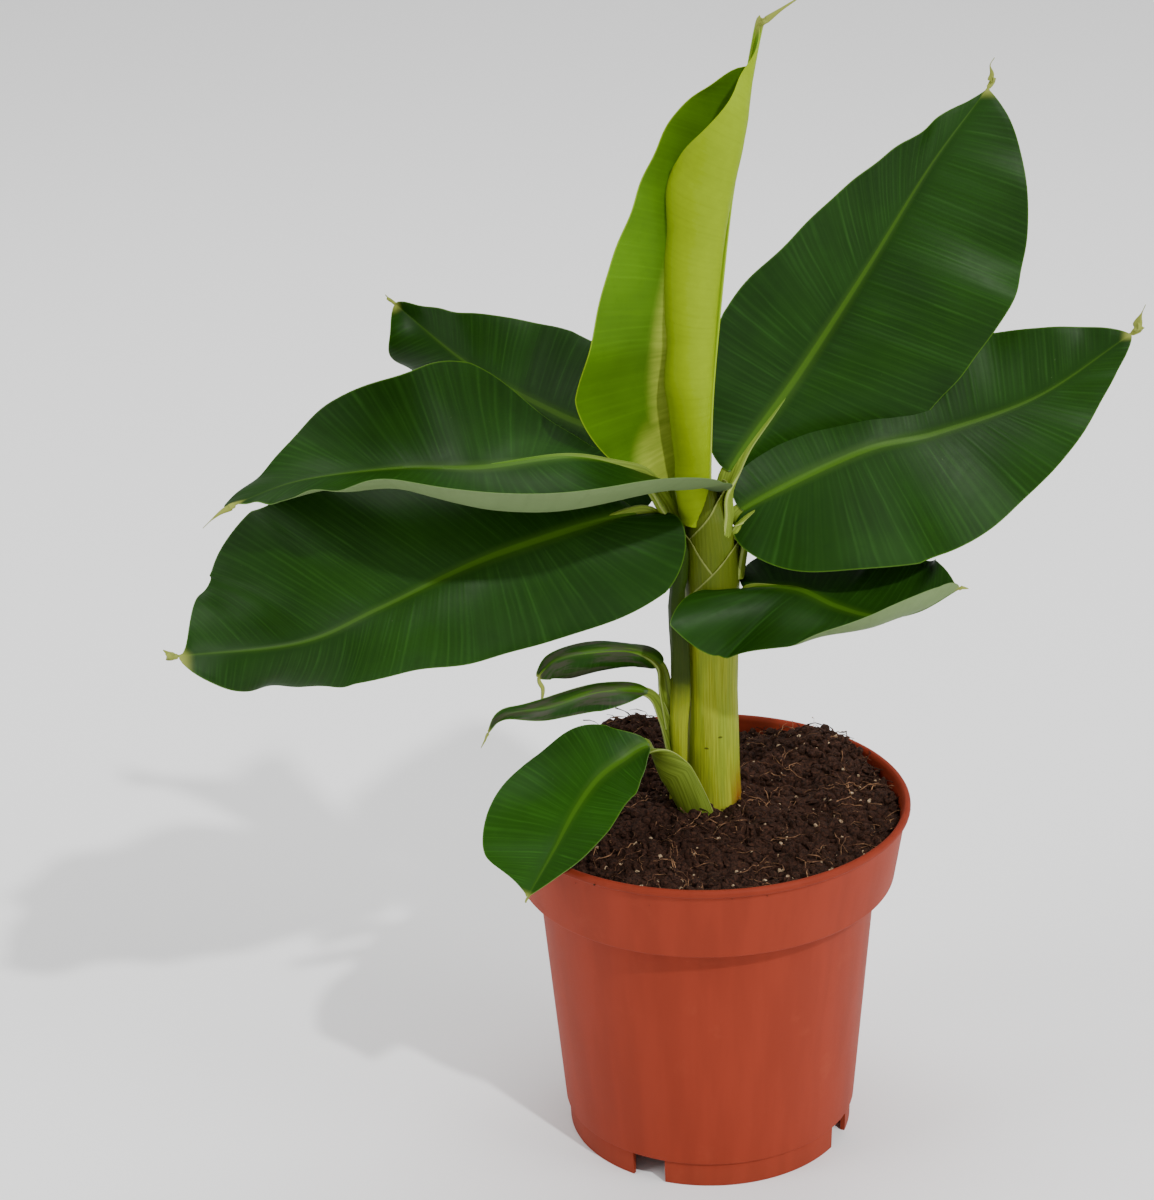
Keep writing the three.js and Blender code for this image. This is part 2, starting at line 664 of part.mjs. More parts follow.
// Parts in building order; each one gives way to those made before it.
function makeParts() {
  const parts = { pseudostem: stemSolid(STEM) };
  const taken = { pseudostem: stemSolid(STEM, FIT) };
  const place = (name, solid, grown) => {
    let free = solid;
    for (const other of Object.values(taken)) {
      if (free.intersect(other).volume() > 0) free = free.subtract(other);
    }
    parts[name] = largestPiece(free).simplify(0.03);
    taken[name] = grown;
  };
  place('side_stem', stemSolid(SIDE_STEM), stemSolid(SIDE_STEM, FIT));
  for (const [name, leaf] of Object.entries(LEAVES)) {
    place(name, leafSolid(leaf), leafSolid(leaf, LEAF_FIT));
  }
  place('soil', makeSoil(), makeSoil());
  parts.pot = makePot();
  return parts;
}

const COLOURS = {
  pot: 0xa6482f,
  soil: 0x2b1d14,
  pseudostem: 0xa3b04a,
  side_stem: 0x8ea350,
  leaf_spear: 0x86ad2c,
  leaf: 0x2f5d20,
};

function meshOf(name, solid) {
  const { vertProperties, triVerts } = solid.getMesh();
  const geometry = new THREE.BufferGeometry();
  geometry.setAttribute('position', new THREE.BufferAttribute(new Float32Array(vertProperties), 3));
  geometry.setIndex(new THREE.BufferAttribute(new Uint32Array(triVerts), 1));
  geometry.computeVertexNormals();
  const colour = COLOURS[name] ?? COLOURS.leaf;
  const mesh = new THREE.Mesh(geometry, new THREE.MeshStandardMaterial({ color: colour, roughness: 0.6 }));
  mesh.name = name;
  return mesh;
}

const plant = new THREE.Group();
plant.name = 'potted_banana_plant';
for (const [name, solid] of Object.entries(makeParts())) plant.add(meshOf(name, solid));

// Move the box's underside to Z = 0, and its middle to X = Y = 0.
const box = new THREE.Box3().setFromObject(plant);
const middle = box.getCenter(new THREE.Vector3());
for (const mesh of plant.children) {
  mesh.geometry.translate(-middle.x, -middle.y, -box.min.z);
}

export default plant;
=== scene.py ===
"""Looks of a young banana plant in a terracotta-coloured nursery pot.

Lengths in the tables are millimetres, measured from the pot's axis and from
the underside of its foot; `to_frame` turns them into metres in the shared
frame.  The viewer stands on the -Y side.
"""

import math

import bpy
import numpy as np
from bpy.props import FloatProperty, FloatVectorProperty, IntProperty, PointerProperty
from mathutils import Matrix, Vector, noise


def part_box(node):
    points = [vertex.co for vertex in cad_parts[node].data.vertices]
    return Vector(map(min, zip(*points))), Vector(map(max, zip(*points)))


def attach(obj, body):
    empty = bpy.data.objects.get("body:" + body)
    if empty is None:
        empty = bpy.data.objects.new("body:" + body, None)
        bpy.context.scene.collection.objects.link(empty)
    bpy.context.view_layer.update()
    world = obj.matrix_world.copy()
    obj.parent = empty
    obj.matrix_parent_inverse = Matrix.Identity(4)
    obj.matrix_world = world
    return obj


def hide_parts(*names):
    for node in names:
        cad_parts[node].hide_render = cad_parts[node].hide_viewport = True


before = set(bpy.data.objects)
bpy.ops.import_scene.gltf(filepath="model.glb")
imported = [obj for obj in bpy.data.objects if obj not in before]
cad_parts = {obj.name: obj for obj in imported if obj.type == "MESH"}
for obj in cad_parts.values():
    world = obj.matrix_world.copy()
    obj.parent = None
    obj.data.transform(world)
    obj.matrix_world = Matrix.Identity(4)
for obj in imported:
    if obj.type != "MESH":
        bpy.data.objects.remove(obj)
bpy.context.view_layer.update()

bl_info = {
    "name": "Potted banana plant",
    "version": (1, 0, 0),
    "blender": (4, 5, 0),
    "location": "3D View > Sidebar > Banana plant",
    "description": "Builds a young banana plant in a nursery pot around its packed frame",
    "category": "Add Mesh",
}

MM = 0.001
POT_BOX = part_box("pot")
POT_AXIS = (POT_BOX[0] + POT_BOX[1]) / 2
RIM_RADIUS = (POT_BOX[1].x - POT_BOX[0].x) / 2 / MM
POT_HEIGHT = POT_BOX[1].z / MM
WALL = 1.6


def shade(red, green, blue):
    """Linear colour from the 0..255 values that a screen shows."""
    def linear(value):
        part = value / 255
        if part <= 0.04045:
            return part / 12.92
        return ((part + 0.055) / 1.055) ** 2.4
    return (linear(red), linear(green), linear(blue))


def opaque(colour):
    """The same colour with full alpha, as node sockets want it."""
    return (*colour, 1.0)


def scaled(colour, factor):
    """A colour made darker or lighter by a factor."""
    return tuple(min(1.0, part * factor) for part in colour)


# ------------------------------------------------------------- leaf table ---
# stalk, rib   control points of the stalk and of the midrib
# across       way the right half points, at the base and at the tip
# rib_size     half-width and half-height of stalk and rib along the leaf
# tip          the thread past the blade's end, and tip_size its half-width
# half(...)    one half of the blade: greatest width, where it is widest, how
#              square its base is, the tip's taper and point, and along the rib
#              the side veins' slant, the fold at the rib and the curl outward;
#              coil is the radius that a rolled half is wound with, and span
#              the stretch of the rib that carries the half


def half(width, belly, blunt, taper, point, slant, fold, curl=(0,), coil=None, span=(0, 1)):
    return {"width": width, "belly": belly, "blunt": blunt, "taper": taper, "point": point,
            "slant": slant, "fold": fold, "curl": curl, "coil": coil, "span": span}


GROWN_RIB = [[4, 3.6], [2.8, 2.6], [2, 1.8], [1.2, 1.1]]

GROWN_LEAVES = {
    "leaf_upper_right": {
        "stalk": [[4.5, -3, 211], [7, -1.5, 226]],
        "rib": [[10, 3, 240.5], [34, 18, 269], [57, 30, 300], [79, 42, 331], [99, 52, 354]],
        "tip": [[0.6, 0.2, 2.4], [1.2, 0.2, 4.6], [0.6, 0.2, 7.5], [2, 0.2, 10]],
        "tip_size": [0.7, 1, 0.8, 0.2, 0.12],
        "across": [[0.8, -0.3, -0.5], [0.8, -0.3, -0.5]],
        "stalk_across": [0.3, -0.95, 0],
        "rib_size": [[4.4, 4.2], [2.7, 2.4], [2, 1.8], [1.2, 1.1]],
        "left": half(33.6, 0.27, 1.3, 2, 1.05, [-35, -3, 34, 60, 75],
                     [10, 18, 24, 26, 1], [-1, 13, 21, 20, -10]),
        "right": half(47.9, 0.53, 2.7, 2.2, 1.06, [2, 13, 12, 11, 41],
                      [-60, -6, 3, 2, 10], [-88, -34, -19, -18, -7]),
    },
    "leaf_right": {
        "stalk": [[10.5, 0, 205], [12.5, 0.5, 217]],
        "rib": [[14, 2, 227], [53, 12, 242.5], [80, 18, 246.5], [114, 24, 256], [145, 29, 275]],
        "tip": [[1.2, 0.3, 2.2], [2.6, 0.4, 5.4], [3.6, 0.4, 7.6], [4.6, 0.4, 10]],
        "tip_size": [0.6, 1.5, 1.6, 0.3, 0.12],
        "across": [[0.1, -0.55, -0.8], [0.1, -0.55, -0.8]],
        "rib_size": GROWN_RIB,
        "left": half(31.2, 0.47, 1.9, 1.9, 0.93, [-20, 5, 2, 23, 43],
                     [13, 0, 12, 19, 17], [17, -26, -24, -14, -9]),
        "right": half(46.2, 0.31, 1.4, 1, 0.8, [-78, -12, 26, 56, 57],
                      [-3, 17, 0, 0, 4], [-16, 5, -14, -21, -20]),
    },
    "leaf_lower_right": {
        "stalk": [[11.5, -2.5, 186], [12.5, -4, 194]],
        "rib": [[14.5, -6, 202], [30, -12, 204.5], [43, -19, 200.5],
                [55, -25, 199], [68, -30, 202.5], [80.5, -32, 210.5]],
        "tip": [[1.4, 0, 0.5], [3.4, 0, 0]],
        "tip_size": [0.6, 0.6, 0.15],
        "across": [[-0.1, -0.87, -0.5], [-0.1, -0.87, -0.5]],
        "rib_size": [[2.8, 2.8], [2.2, 2], [1.5, 1.4], [1, 1]],
        "left": half(26.6, 0.61, 2.1, 3.2, 1.18, [-44, -19, 13, 14, 23],
                     [-9, -16, -6, -12, -4], [3, 0, 14, 5, 12]),
        "right": half(37.9, 0.12, 1.1, 1, 0.72, [-69, -28, 3, 48, 70],
                      [75, -6, -1, 36, 58], [1, -20, 70, 120, 120]),
    },
    "leaf_upper_left": {
        "stalk": [[-6.5, 0, 219], [-12, -1, 232]],
        "rib": [[-20, -3, 243], [-42, -7, 251], [-72, -12, 250],
                [-97, -16, 252], [-128, -22, 251], [-149, -28, 246]],
        "tip": [[-2, -0.5, -0.8], [-4.6, -0.7, -2], [-7.5, -1, -4.2], [-11, -1, -7.5]],
        "tip_size": [0.9, 1.1, 0.6, 0.2, 0.12],
        "across": [[0.1, 0.7, 0.7], [0.1, 0.7, 0.7]],
        "rib_size": [[4.6, 3.8], [2.6, 2.4], [2, 1.8], [1.2, 1.1]],
        "left": half(57, 0.3, 2.05, 1.2, 1.03, [-101, -39, 26, 50, 65],
                     [23, -4, 28, 36, 42], [101, 104, 63, 16, -23]),
        "right": half(37.7, 0.38, 1.2, 1, 0.5, [-36, -21, 24, 48, 66],
                      [-56, -49, 9, -25, -27], [13, 10, 54, -20, -75]),
    },
    "leaf_left": {
        "stalk": [[-9.2, -2, 204], [-13.5, -3, 219]],
        "rib": [[-21, -4, 229], [-66, -16, 222], [-105, -27, 208.5],
                [-131, -36, 201], [-169, -44, 201]],
        "tip": [[-1.6, -0.3, 0.6], [-3, -0.4, 1.2], [-4.6, -0.6, 2.6]],
        "tip_size": [0.8, 1.2, 0.9, 0.15],
        "across": [[0.05, 0.45, 0.85], [0.05, 0.45, 0.85]],
        "rib_size": GROWN_RIB,
        "left": half(37.8, 0.15, 1.4, 1, 0.55, [-92, -10, 38, 26, 1],
                     [23, 5, 24, -16, 12], [29, -42, -53, -57, 14]),
        "right": half(53, 0.48, 1.4, 3.2, 1.53, [4, 28, 30, 29, 40],
                      [-10, -8, 11, -20, 1], [-33, -27, -7, -40, -17]),
    },
    "leaf_back_left": {
        "stalk": [[-4, 7, 213], [-7.5, 10, 228]],
        "rib": [[-13, 15, 243], [-45, 36, 251], [-75, 56, 263], [-101, 70, 282]],
        "tip": [[-1.6, 0.4, 1.2], [-3.4, 0.6, 3.4]],
        "tip_size": [0.6, 0.5, 0.12],
        "across": [[0.3, 0.2, 0.93], [0.3, 0.2, 0.93]],
        "rib_size": [[3, 3], [2.6, 2.4], [2, 1.8], [1.2, 1.1]],
        "left": half(36.4, 0.38, 2, 1.2, 0.64, [-37, -1, 26, 38, 5],
                     [6, 1, -7, -9, 40], [-12, -26, -38, -25, 64]),
        "right": half(28.2, 0.41, 2, 1.1, 0.72, [-36, -3, 16, 29, 38],
                      [5, 2, -5, 18, 23], [-14, -19, -23, 16, 36]),
    },
}

SPEAR_LEAF = {
    "leaf_spear": {
        "stalk": [[1.5, 2.2, 214], [1.4, 2.4, 219]],
        "rib": [[1.6, 2.6, 225], [3, 3.5, 262], [6.5, 5, 298], [10.5, 6, 331],
                [15, 5.5, 358], [20.2, 4, 386]],
        "tip": [[1.8, 0, 1.4], [4.5, 0, 3.2], [9, 0, 6], [15.5, 0, 9.8]],
        "tip_size": [1.45, 1.1, 0.55, 0.3, 0.12],
        "across": [[0.9, -0.4, 0], [0.9, -0.4, -0.1]],
        "rib_size": [[3, 3], [2.6, 2.4], [2.4, 2.2], [4.8, 4.4]],
        "left": half(45.6, 0.27, 1.4, 1, 0.5, [-40, -21, 8, 14, -15],
                     [14, 18, 25, 18, 16], [28, 27, 35, 30, 27], span=(0.085, 0.92)),
        "right": half(37.2, 0.64, 3, 1, 0.98, [-10, -4, 11, 20, 45],
                      [33, 41, 66, 37, 38], coil=[4.7, 6.8, 9.3, 10.7, 5.1]),
        # glow: spots of painted glow, where light shines through the young blade: across, along,
        # half-width and half-length
        "glow": [(-14, 50, 7, 40), (-19, 26, 9, 14), (-9, 160, 7, 9)],
    },
}

SMALL_LEAVES = {
    "leaf_small_upper": {
        "stalk": [[-10.9, -5.2, 153], [-12.9, -5.4, 165]],
        "rib": [[-14.8, -5.4, 176], [-24, -9, 183], [-38, -13.5, 185], [-49.5, -16.3, 183.4],
                [-55.5, -18.5, 178.5]],
        "tip": [[0.9, -0.5, -4], [0.6, -0.5, -9.5]],
        "tip_size": [0.8, 0.9, 0.2],
        "across": [[0, 0.6, 0.8], [0, 0.8, 0.6]],
        "stalk_across": [0.8, 0.3, 0.4],
        "rib_size": [[3, 2.8], [2.4, 2.2], [1.5, 1.4], [1.3, 1.2], [1.3, 1.2]],
        "left": half(12.6, 0.41, 2.8, 1.8, 0.81, [-30, -37, 2, 31, 37],
                     [-58, -22, -20, -21, -14], [-120, -112, -93, -76, -44]),
        "right": half(4.9, 0.48, 3.2, 2.3, 0.52, [-22, -9, 10, 32, 31],
                      [24, -13, -7, -4, 9], [0, -51, -39, -15, 26]),
    },
    "leaf_small_middle": {
        "stalk": [[-10.4, -5.4, 143], [-13.6, -6.2, 156.5]],
        "rib": [[-19.2, -7.7, 167], [-35, -13, 170.6], [-52, -19, 168], [-66, -23, 167.3],
                [-72.5, -25, 162]],
        "tip": [[-1.4, -0.5, -2.6], [-2.6, -1, -5]],
        "tip_size": [0.6, 0.4, 0.12],
        "across": [[0, 0.6, 0.8], [0, 0.8, 0.6]],
        "stalk_across": [0.8, 0.3, 0.4],
        "rib_size": [[3, 2.4], [2, 1.8], [1.3, 1.1], [0.9, 0.9], [0.8, 0.8]],
        "left": half(7.2, 0.27, 1.3, 2, 1.18, [-30, 15, 44, 34, 15], [21, -10, -11, 3, 33],
                     [31, -14, -20, 0, 52]),
        "right": half(4.3, 0.55, 2.2, 1.4, 0.5, [-20, 6, 6, 50, -25], [13, 26, 23, 10, 15],
                      [50, 68, 63, 50, 50]),
    },
    "leaf_small_lower": {
        "stalk": [[-2.2, -11.3, 120], [-6, -12.9, 130.5], [-11.4, -13.6, 141.4]],
        "rib": [[-19, -14.5, 150.6], [-28.5, -19, 147.6], [-37, -27, 144.6], [-44.7, -37, 138.4],
                [-52, -48, 129.5], [-61, -58, 118]],
        "tip": [[-0.6, -0.4, -1.6]],
        "tip_size": [0.5, 0.2],
        "across": [[-0.5, 0.7, 0.5], [-0.5, 0.7, 0.5]],
        "stalk_across": [-0.8, 0.2, -0.55],
        "rib_size": [[5.8, 2.8], [6.3, 2.6], [2.8, 1.6], [1.2, 1], [1, 0.9], [0.8, 0.8]],
        "left": half(14.7, 0.58, 3.5, 1.9, 1.1, [16, 6, -14, 0, 0], [11, 15, 6, 17, 16],
                     [28, 16, 0, 13, 16]),
        "right": half(27, 0.49, 1.3, 3.1, 1.18, [5, -23, -15, 26, 5], [21, 11, -4, 11, 13],
                      [1, -11, -21, -1, 5]),
    },
}

# The main stem and the side stem: [x, y, z, radius] from the soil upward, and
# the side stem's end, hidden among the leaf stalks.
STEM = [
    [3.2, 0, 113, 9.9], [3.1, 0, 120, 9.6], [2.9, 0, 135, 9.0], [2.8, 0, 165, 8.7],
    [2.9, 0, 190, 9.3], [3.1, 0, 205, 9.7], [2.9, 0.3, 216, 9.6], [2.2, 0.8, 226, 8.4],
    [1.6, 1.5, 234, 6.2], [1.2, 2.2, 240, 4.0],
]
SIDE_STEM = [
    [-9.6, -3.4, 113, 3.0], [-9.4, -3.6, 125, 3.0], [-8.9, -4.8, 140, 2.8],
    [-8.8, -5.2, 152, 3.0], [-8.5, -5.6, 158, 3.2], [-8.1, -6.0, 164, 3.4],
    [-7.9, -6.4, 171, 3.3], [-7.9, -6.6, 180, 3.25], [-8.4, -6.2, 190, 3.2],
    [-8.8, -5.6, 197, 2.9], [-8.6, -5.3, 202, 2.5],
]
SIDE_STEM_END = [[-7.8, -5, 207, 3], [-7, -4.4, 215, 2.8], [-6.8, -4, 221, 1.2]]

STEM_FOOT = 112.5
STEM_CORE_TOP = 236
STEM_CORE_INSET = 1.4
# Radius that turns an angle round the stem into a distance.
STEM_GIRTH = 11
# Numbers that tell the stem's core and the side stem from the sheaths, which
# count up from 0.
CORE_LAYER = 7.0
SHOOT_LAYER = 9.0

# Small dark nicks in the stem's front: [x, level].
STEM_NICKS = [[0.2, 146], [4.9, 150]]

# Leaf sheaths wrapped round the stem, outermost first: leaf, the levels where it
# starts, begins to narrow and ends, and how far its margins reach round the
# stem from its back at the last two, in degrees.
SHEATHS = [
    ("leaf_lower_right", 112, 182, 192, 170, 60),
    ("leaf_right", 112, 201, 223, 165, 30),
    ("leaf_upper_left", 160, 200, 230, 158, 25),
    ("leaf_upper_right", 160, 218, 239, 178, 30),
]


# --------------------------------------------------------------- settings ---

def colour_setting(name, description, default):
    return FloatVectorProperty(name=name, description=description, default=default,
                               subtype="COLOR", size=3, min=0, max=1)


def length_setting(name, description, millimetres, **limits):
    return FloatProperty(name=name, description=description, default=millimetres * MM,
                         unit="LENGTH", **limits)


def amount_setting(name, description, default):
    return FloatProperty(name=name, description=description, default=default)


class PotSettings(bpy.types.PropertyGroup):
    colour: colour_setting("Plastic colour", "Colour of the pot's plastic", shade(136, 50, 31))
    lip_height: length_setting("Lip height", "Height of the rolled lip", 2.6, min=0.001)
    notch_width: length_setting("Notch width", "Width of each opening in the foot", 12, min=0.001)
    notch_height: length_setting("Notch height", "Height of each opening in the foot", 9,
                                 min=0.001)
    notch_turn: FloatProperty(
        name="Notch turn", description="Where the first opening in the foot is",
        subtype="ANGLE", default=math.radians(-118))
    sides: IntProperty(name="Sides", description="Steps round the pot", min=24, default=192)


class SoilSettings(bpy.types.PropertyGroup):
    colour: colour_setting("Soil colour", "Colour of the damp peat", shade(50, 29, 19))
    level: length_setting("Level", "Height of the soil at the pot's wall", 118.5)
    crumbs: amount_setting("Crumbs", "Crumbs of peat on each square metre", 120000.0)
    fibres: amount_setting("Fibres", "Fibres on each square metre", 30000.0)
    flakes: amount_setting("Flakes", "Pale flakes on each square metre", 20000.0)
    seed: IntProperty(name="Seed", description="Seed of the litter's places", default=7)


class StemSettings(bpy.types.PropertyGroup):
    colour: colour_setting("Stem colour", "Colour of the sheaths at mid height",
                           shade(146, 155, 38))
    sheath: length_setting("Sheath thickness", "Thickness of a sheath at its back", 0.5)
    rib_spacing: length_setting("Rib spacing", "Distance between the stem's fine ribs", 1.7)
    rib_relief: length_setting("Rib relief", "Height of the stem's fine ribs", 0.09)


class LeafSettings(bpy.types.PropertyGroup):
    upper: colour_setting("Upper side", "Colour of a grown leaf's upper side", shade(22, 55, 3))
    under: colour_setting("Underside", "Colour of a grown leaf's underside", shade(104, 124, 80))
    rib: colour_setting("Midrib", "Colour of a grown leaf's midrib", shade(64, 98, 18))
    stalk: colour_setting("Stalk", "Colour of the leaves' stalks", shade(116, 136, 44))
    young_upper: colour_setting("Young upper side", "Colour of the unrolling leaf's upper side",
                                shade(78, 120, 0))
    young_under: colour_setting("Young underside", "Colour of the unrolling leaf's underside",
                                shade(132, 156, 8))
    thickness: length_setting("Thickness", "Thickness of a blade beside its rib", 0.45)
    vein_spacing: length_setting("Vein spacing", "Distance between the finest side veins", 1.7)
    pleat_spacing: length_setting("Pleat spacing", "Distance between the blade's soft pleats", 9.5)
    pleat_relief: length_setting("Pleat relief", "Depth of the blade's soft pleats", 0.035)


class StageSettings(bpy.types.PropertyGroup):
    floor_size: length_setting("Floor size", "Side of the floor", 24000)
    floor_colour: colour_setting("Floor colour", "Colour of the floor", (0.93, 0.93, 0.93))
    sun: amount_setting("Key light", "Strength of the key light", 2.1)
    sky: amount_setting("Room light", "Strength of the room's light", 0.5)


# ------------------------------------------------------------ shader maths ---

class Value:
    """A socket whose arithmetic adds Math nodes."""

    def __init__(self, net, socket):
        self.net = net
        self.socket = socket

    def math(self, operation, *others):
        return self.net.node("Math", dict(enumerate((self, *others))), operation=operation)

    def after(self, operation, first):
        return self.net.node("Math", {0: first, 1: self}, operation=operation)

    def __add__(self, other):
        return self.math("ADD", other)

    def __sub__(self, other):
        return self.math("SUBTRACT", other)

    def __rsub__(self, other):
        return self.after("SUBTRACT", other)

    def __mul__(self, other):
        return self.math("MULTIPLY", other)

    def __truediv__(self, other):
        return self.math("DIVIDE", other)

    def __pow__(self, other):
        return self.math("POWER", other)

    __radd__ = __add__

    def __abs__(self):
        return self.math("ABSOLUTE")

    def wave(self, period):
        """A smooth wave from 0 to 1 that repeats each period."""
        return (self * (math.tau / period)).math("SINE") * 0.5 + 0.5

    def step(self, low, high):
        """0 below low, 1 above high and smooth between them."""
        return self.net.node("MapRange", {0: self, 1: low, 2: high}, clamp=True,
                             interpolation_type="SMOOTHSTEP")


class Net:
    """A material's nodes; one method adds any of them."""

    def __init__(self, name):
        self.material = bpy.data.materials.new(name)
        self.material.use_nodes = True
        self.tree = self.material.node_tree
        self.tree.nodes.clear()

    def node(self, kind, inputs=None, output=0, stops=None, **settings):
        made = self.tree.nodes.new("ShaderNode" + kind)
        for key, setting in settings.items():
            setattr(made, key, setting)
        if stops:
            while len(made.color_ramp.elements) < len(stops):
                made.color_ramp.elements.new(0.5)
            for element, (place, colour) in zip(made.color_ramp.elements, stops):
                element.position = place
                element.color = opaque(colour)
        for key, given in (inputs or {}).items():
            if isinstance(given, Value):
                self.tree.links.new(given.socket, made.inputs[key])
            else:
                made.inputs[key].default_value = given
        return Value(self, made.outputs[output])

    def mix(self, factor, first, second):
        """A blend of two colours."""
        colours = [opaque(c) if isinstance(c, tuple) else c for c in (first, second)]
        return self.node("Mix", {0: factor, 6: colours[0], 7: colours[1]}, output=2,
                         data_type="RGBA")

    def place(self, scale=(1, 1, 1)):
        """Object coordinates in millimetres, stretched by a scale."""
        here = self.node("TexCoord", output="Object")
        factors = tuple(part / MM for part in scale)
        return self.node("VectorMath", {0: here, 1: factors}, operation="MULTIPLY")

    def attribute(self, name):
        """The three numbers of a vector attribute."""
        vector = self.node("Attribute", output="Vector", attribute_name=name)
        return [self.node("SeparateXYZ", {0: vector}, output=axis) for axis in "XYZ"]

    def vector(self, x, y, z):
        return self.node("CombineXYZ", {0: x, 1: y, 2: z})

    def noise(self, vector, size, detail=2.0, rough=0.5):
        """Cloudy numbers round 0.5 whose blotches are `size` wide."""
        return self.node("TexNoise", {"Vector": vector, "Scale": 1 / size, "Detail": detail,
                                      "Roughness": rough})

    def finish(self, colour, roughness, height=None, depth=0.0, **constants):
        """A Principled surface; depth is the bump's height in millimetres."""
        inputs = {"Base Color": colour, "Roughness": roughness}
        if height is not None:
            inputs["Normal"] = self.node("Bump", {"Height": height, "Strength": 1.0,
                                                  "Distance": depth * MM})
        for key, constant in constants.items():
            inputs[key.replace("_", " ")] = constant
        surface = self.node("BsdfPrincipled", inputs)
        output = self.tree.nodes.new("ShaderNodeOutputMaterial")
        self.tree.links.new(surface.socket, output.inputs["Surface"])
        return self.material


# ---------------------------------------------------------------- finishes ---

# Colours of streaks, margins, stains and marks, and of the stem's top, which also carries painted
# shade.
DUSKY_STREAK = shade(66, 58, 52)
UNDER_BASE = shade(58, 78, 56)
STALK_MARGIN = shade(176, 186, 112)
DRY_TIP = shade(132, 140, 62)
LEAF_SCRATCH = shade(128, 142, 104)
STEM_BAND = shade(118, 140, 40)
# The stem's top: its greener tone together with painted shade from the leaves above.
STEM_TOP_GREEN_AND_SHADE = shade(62, 78, 14)
STEM_PALE_BASE = shade(168, 166, 78)
SHEATH_MARGIN = shade(190, 196, 120)
SHOOT_TOP = shade(28, 50, 6)
STEM_FLANK = shade(128, 62, 16)
STEM_FOOT_STAIN = shade(96, 66, 26)
STEM_NICK = shade(44, 40, 10)
STEM_SPECK = shade(112, 92, 36)
SHEATH_INSIDE = shade(150, 160, 88)
POT_FLECK = shade(190, 96, 66)
POT_DUST = shade(172, 84, 58)
POT_FOOT_DARKER = shade(120, 62, 42)
POT_SCUFF = shade(196, 120, 92)


def side_veins(net, across, along, spacing):
    """Colour and relief of the side veins: fine, middle and main ones, beside the midrib."""
    drift = (net.noise(net.vector(across * 0.06, along * 0.3, 0.0), 1.0, 2.0) - 0.5) * 1.2
    fine = (along + drift).wave(spacing)
    middle = (along + drift * 0.8).wave(spacing * 1.8) ** 14
    main = (along + drift * 0.5).wave(spacing * 4.9) ** 45
    away = abs(across).step(0.5, 6.0)
    patchy = net.noise(net.vector(across * 0.05, along * 0.12, 3.0), 1.0, 2.0).step(0.35, 0.7)
    colour = (main * 0.4 + middle * 0.5 + fine ** 3 * 0.25) * away * (patchy * 0.55 + 0.35)
    return colour, main * away * 0.4 + fine * away * 0.2


def stalk_flesh(net, place, margin, flesh_colour, rib_colour):
    """Streaky stalk with a pale margin, which takes the midrib's colour in the blade."""
    across, along, share = place
    streak = net.noise(net.vector(across * 1.6, along * 0.05, 0.0), 1.0, 3.0)
    flesh = net.mix(streak.step(0.35, 0.65), scaled(flesh_colour, 0.72), scaled(flesh_colour, 1.2))
    flesh = net.mix((1 - margin.step(0.1, 0.5)) * 0.5, flesh, STALK_MARGIN)
    return net.mix(share.step(0.0, 0.3), flesh, scaled(rib_colour, 1.2))


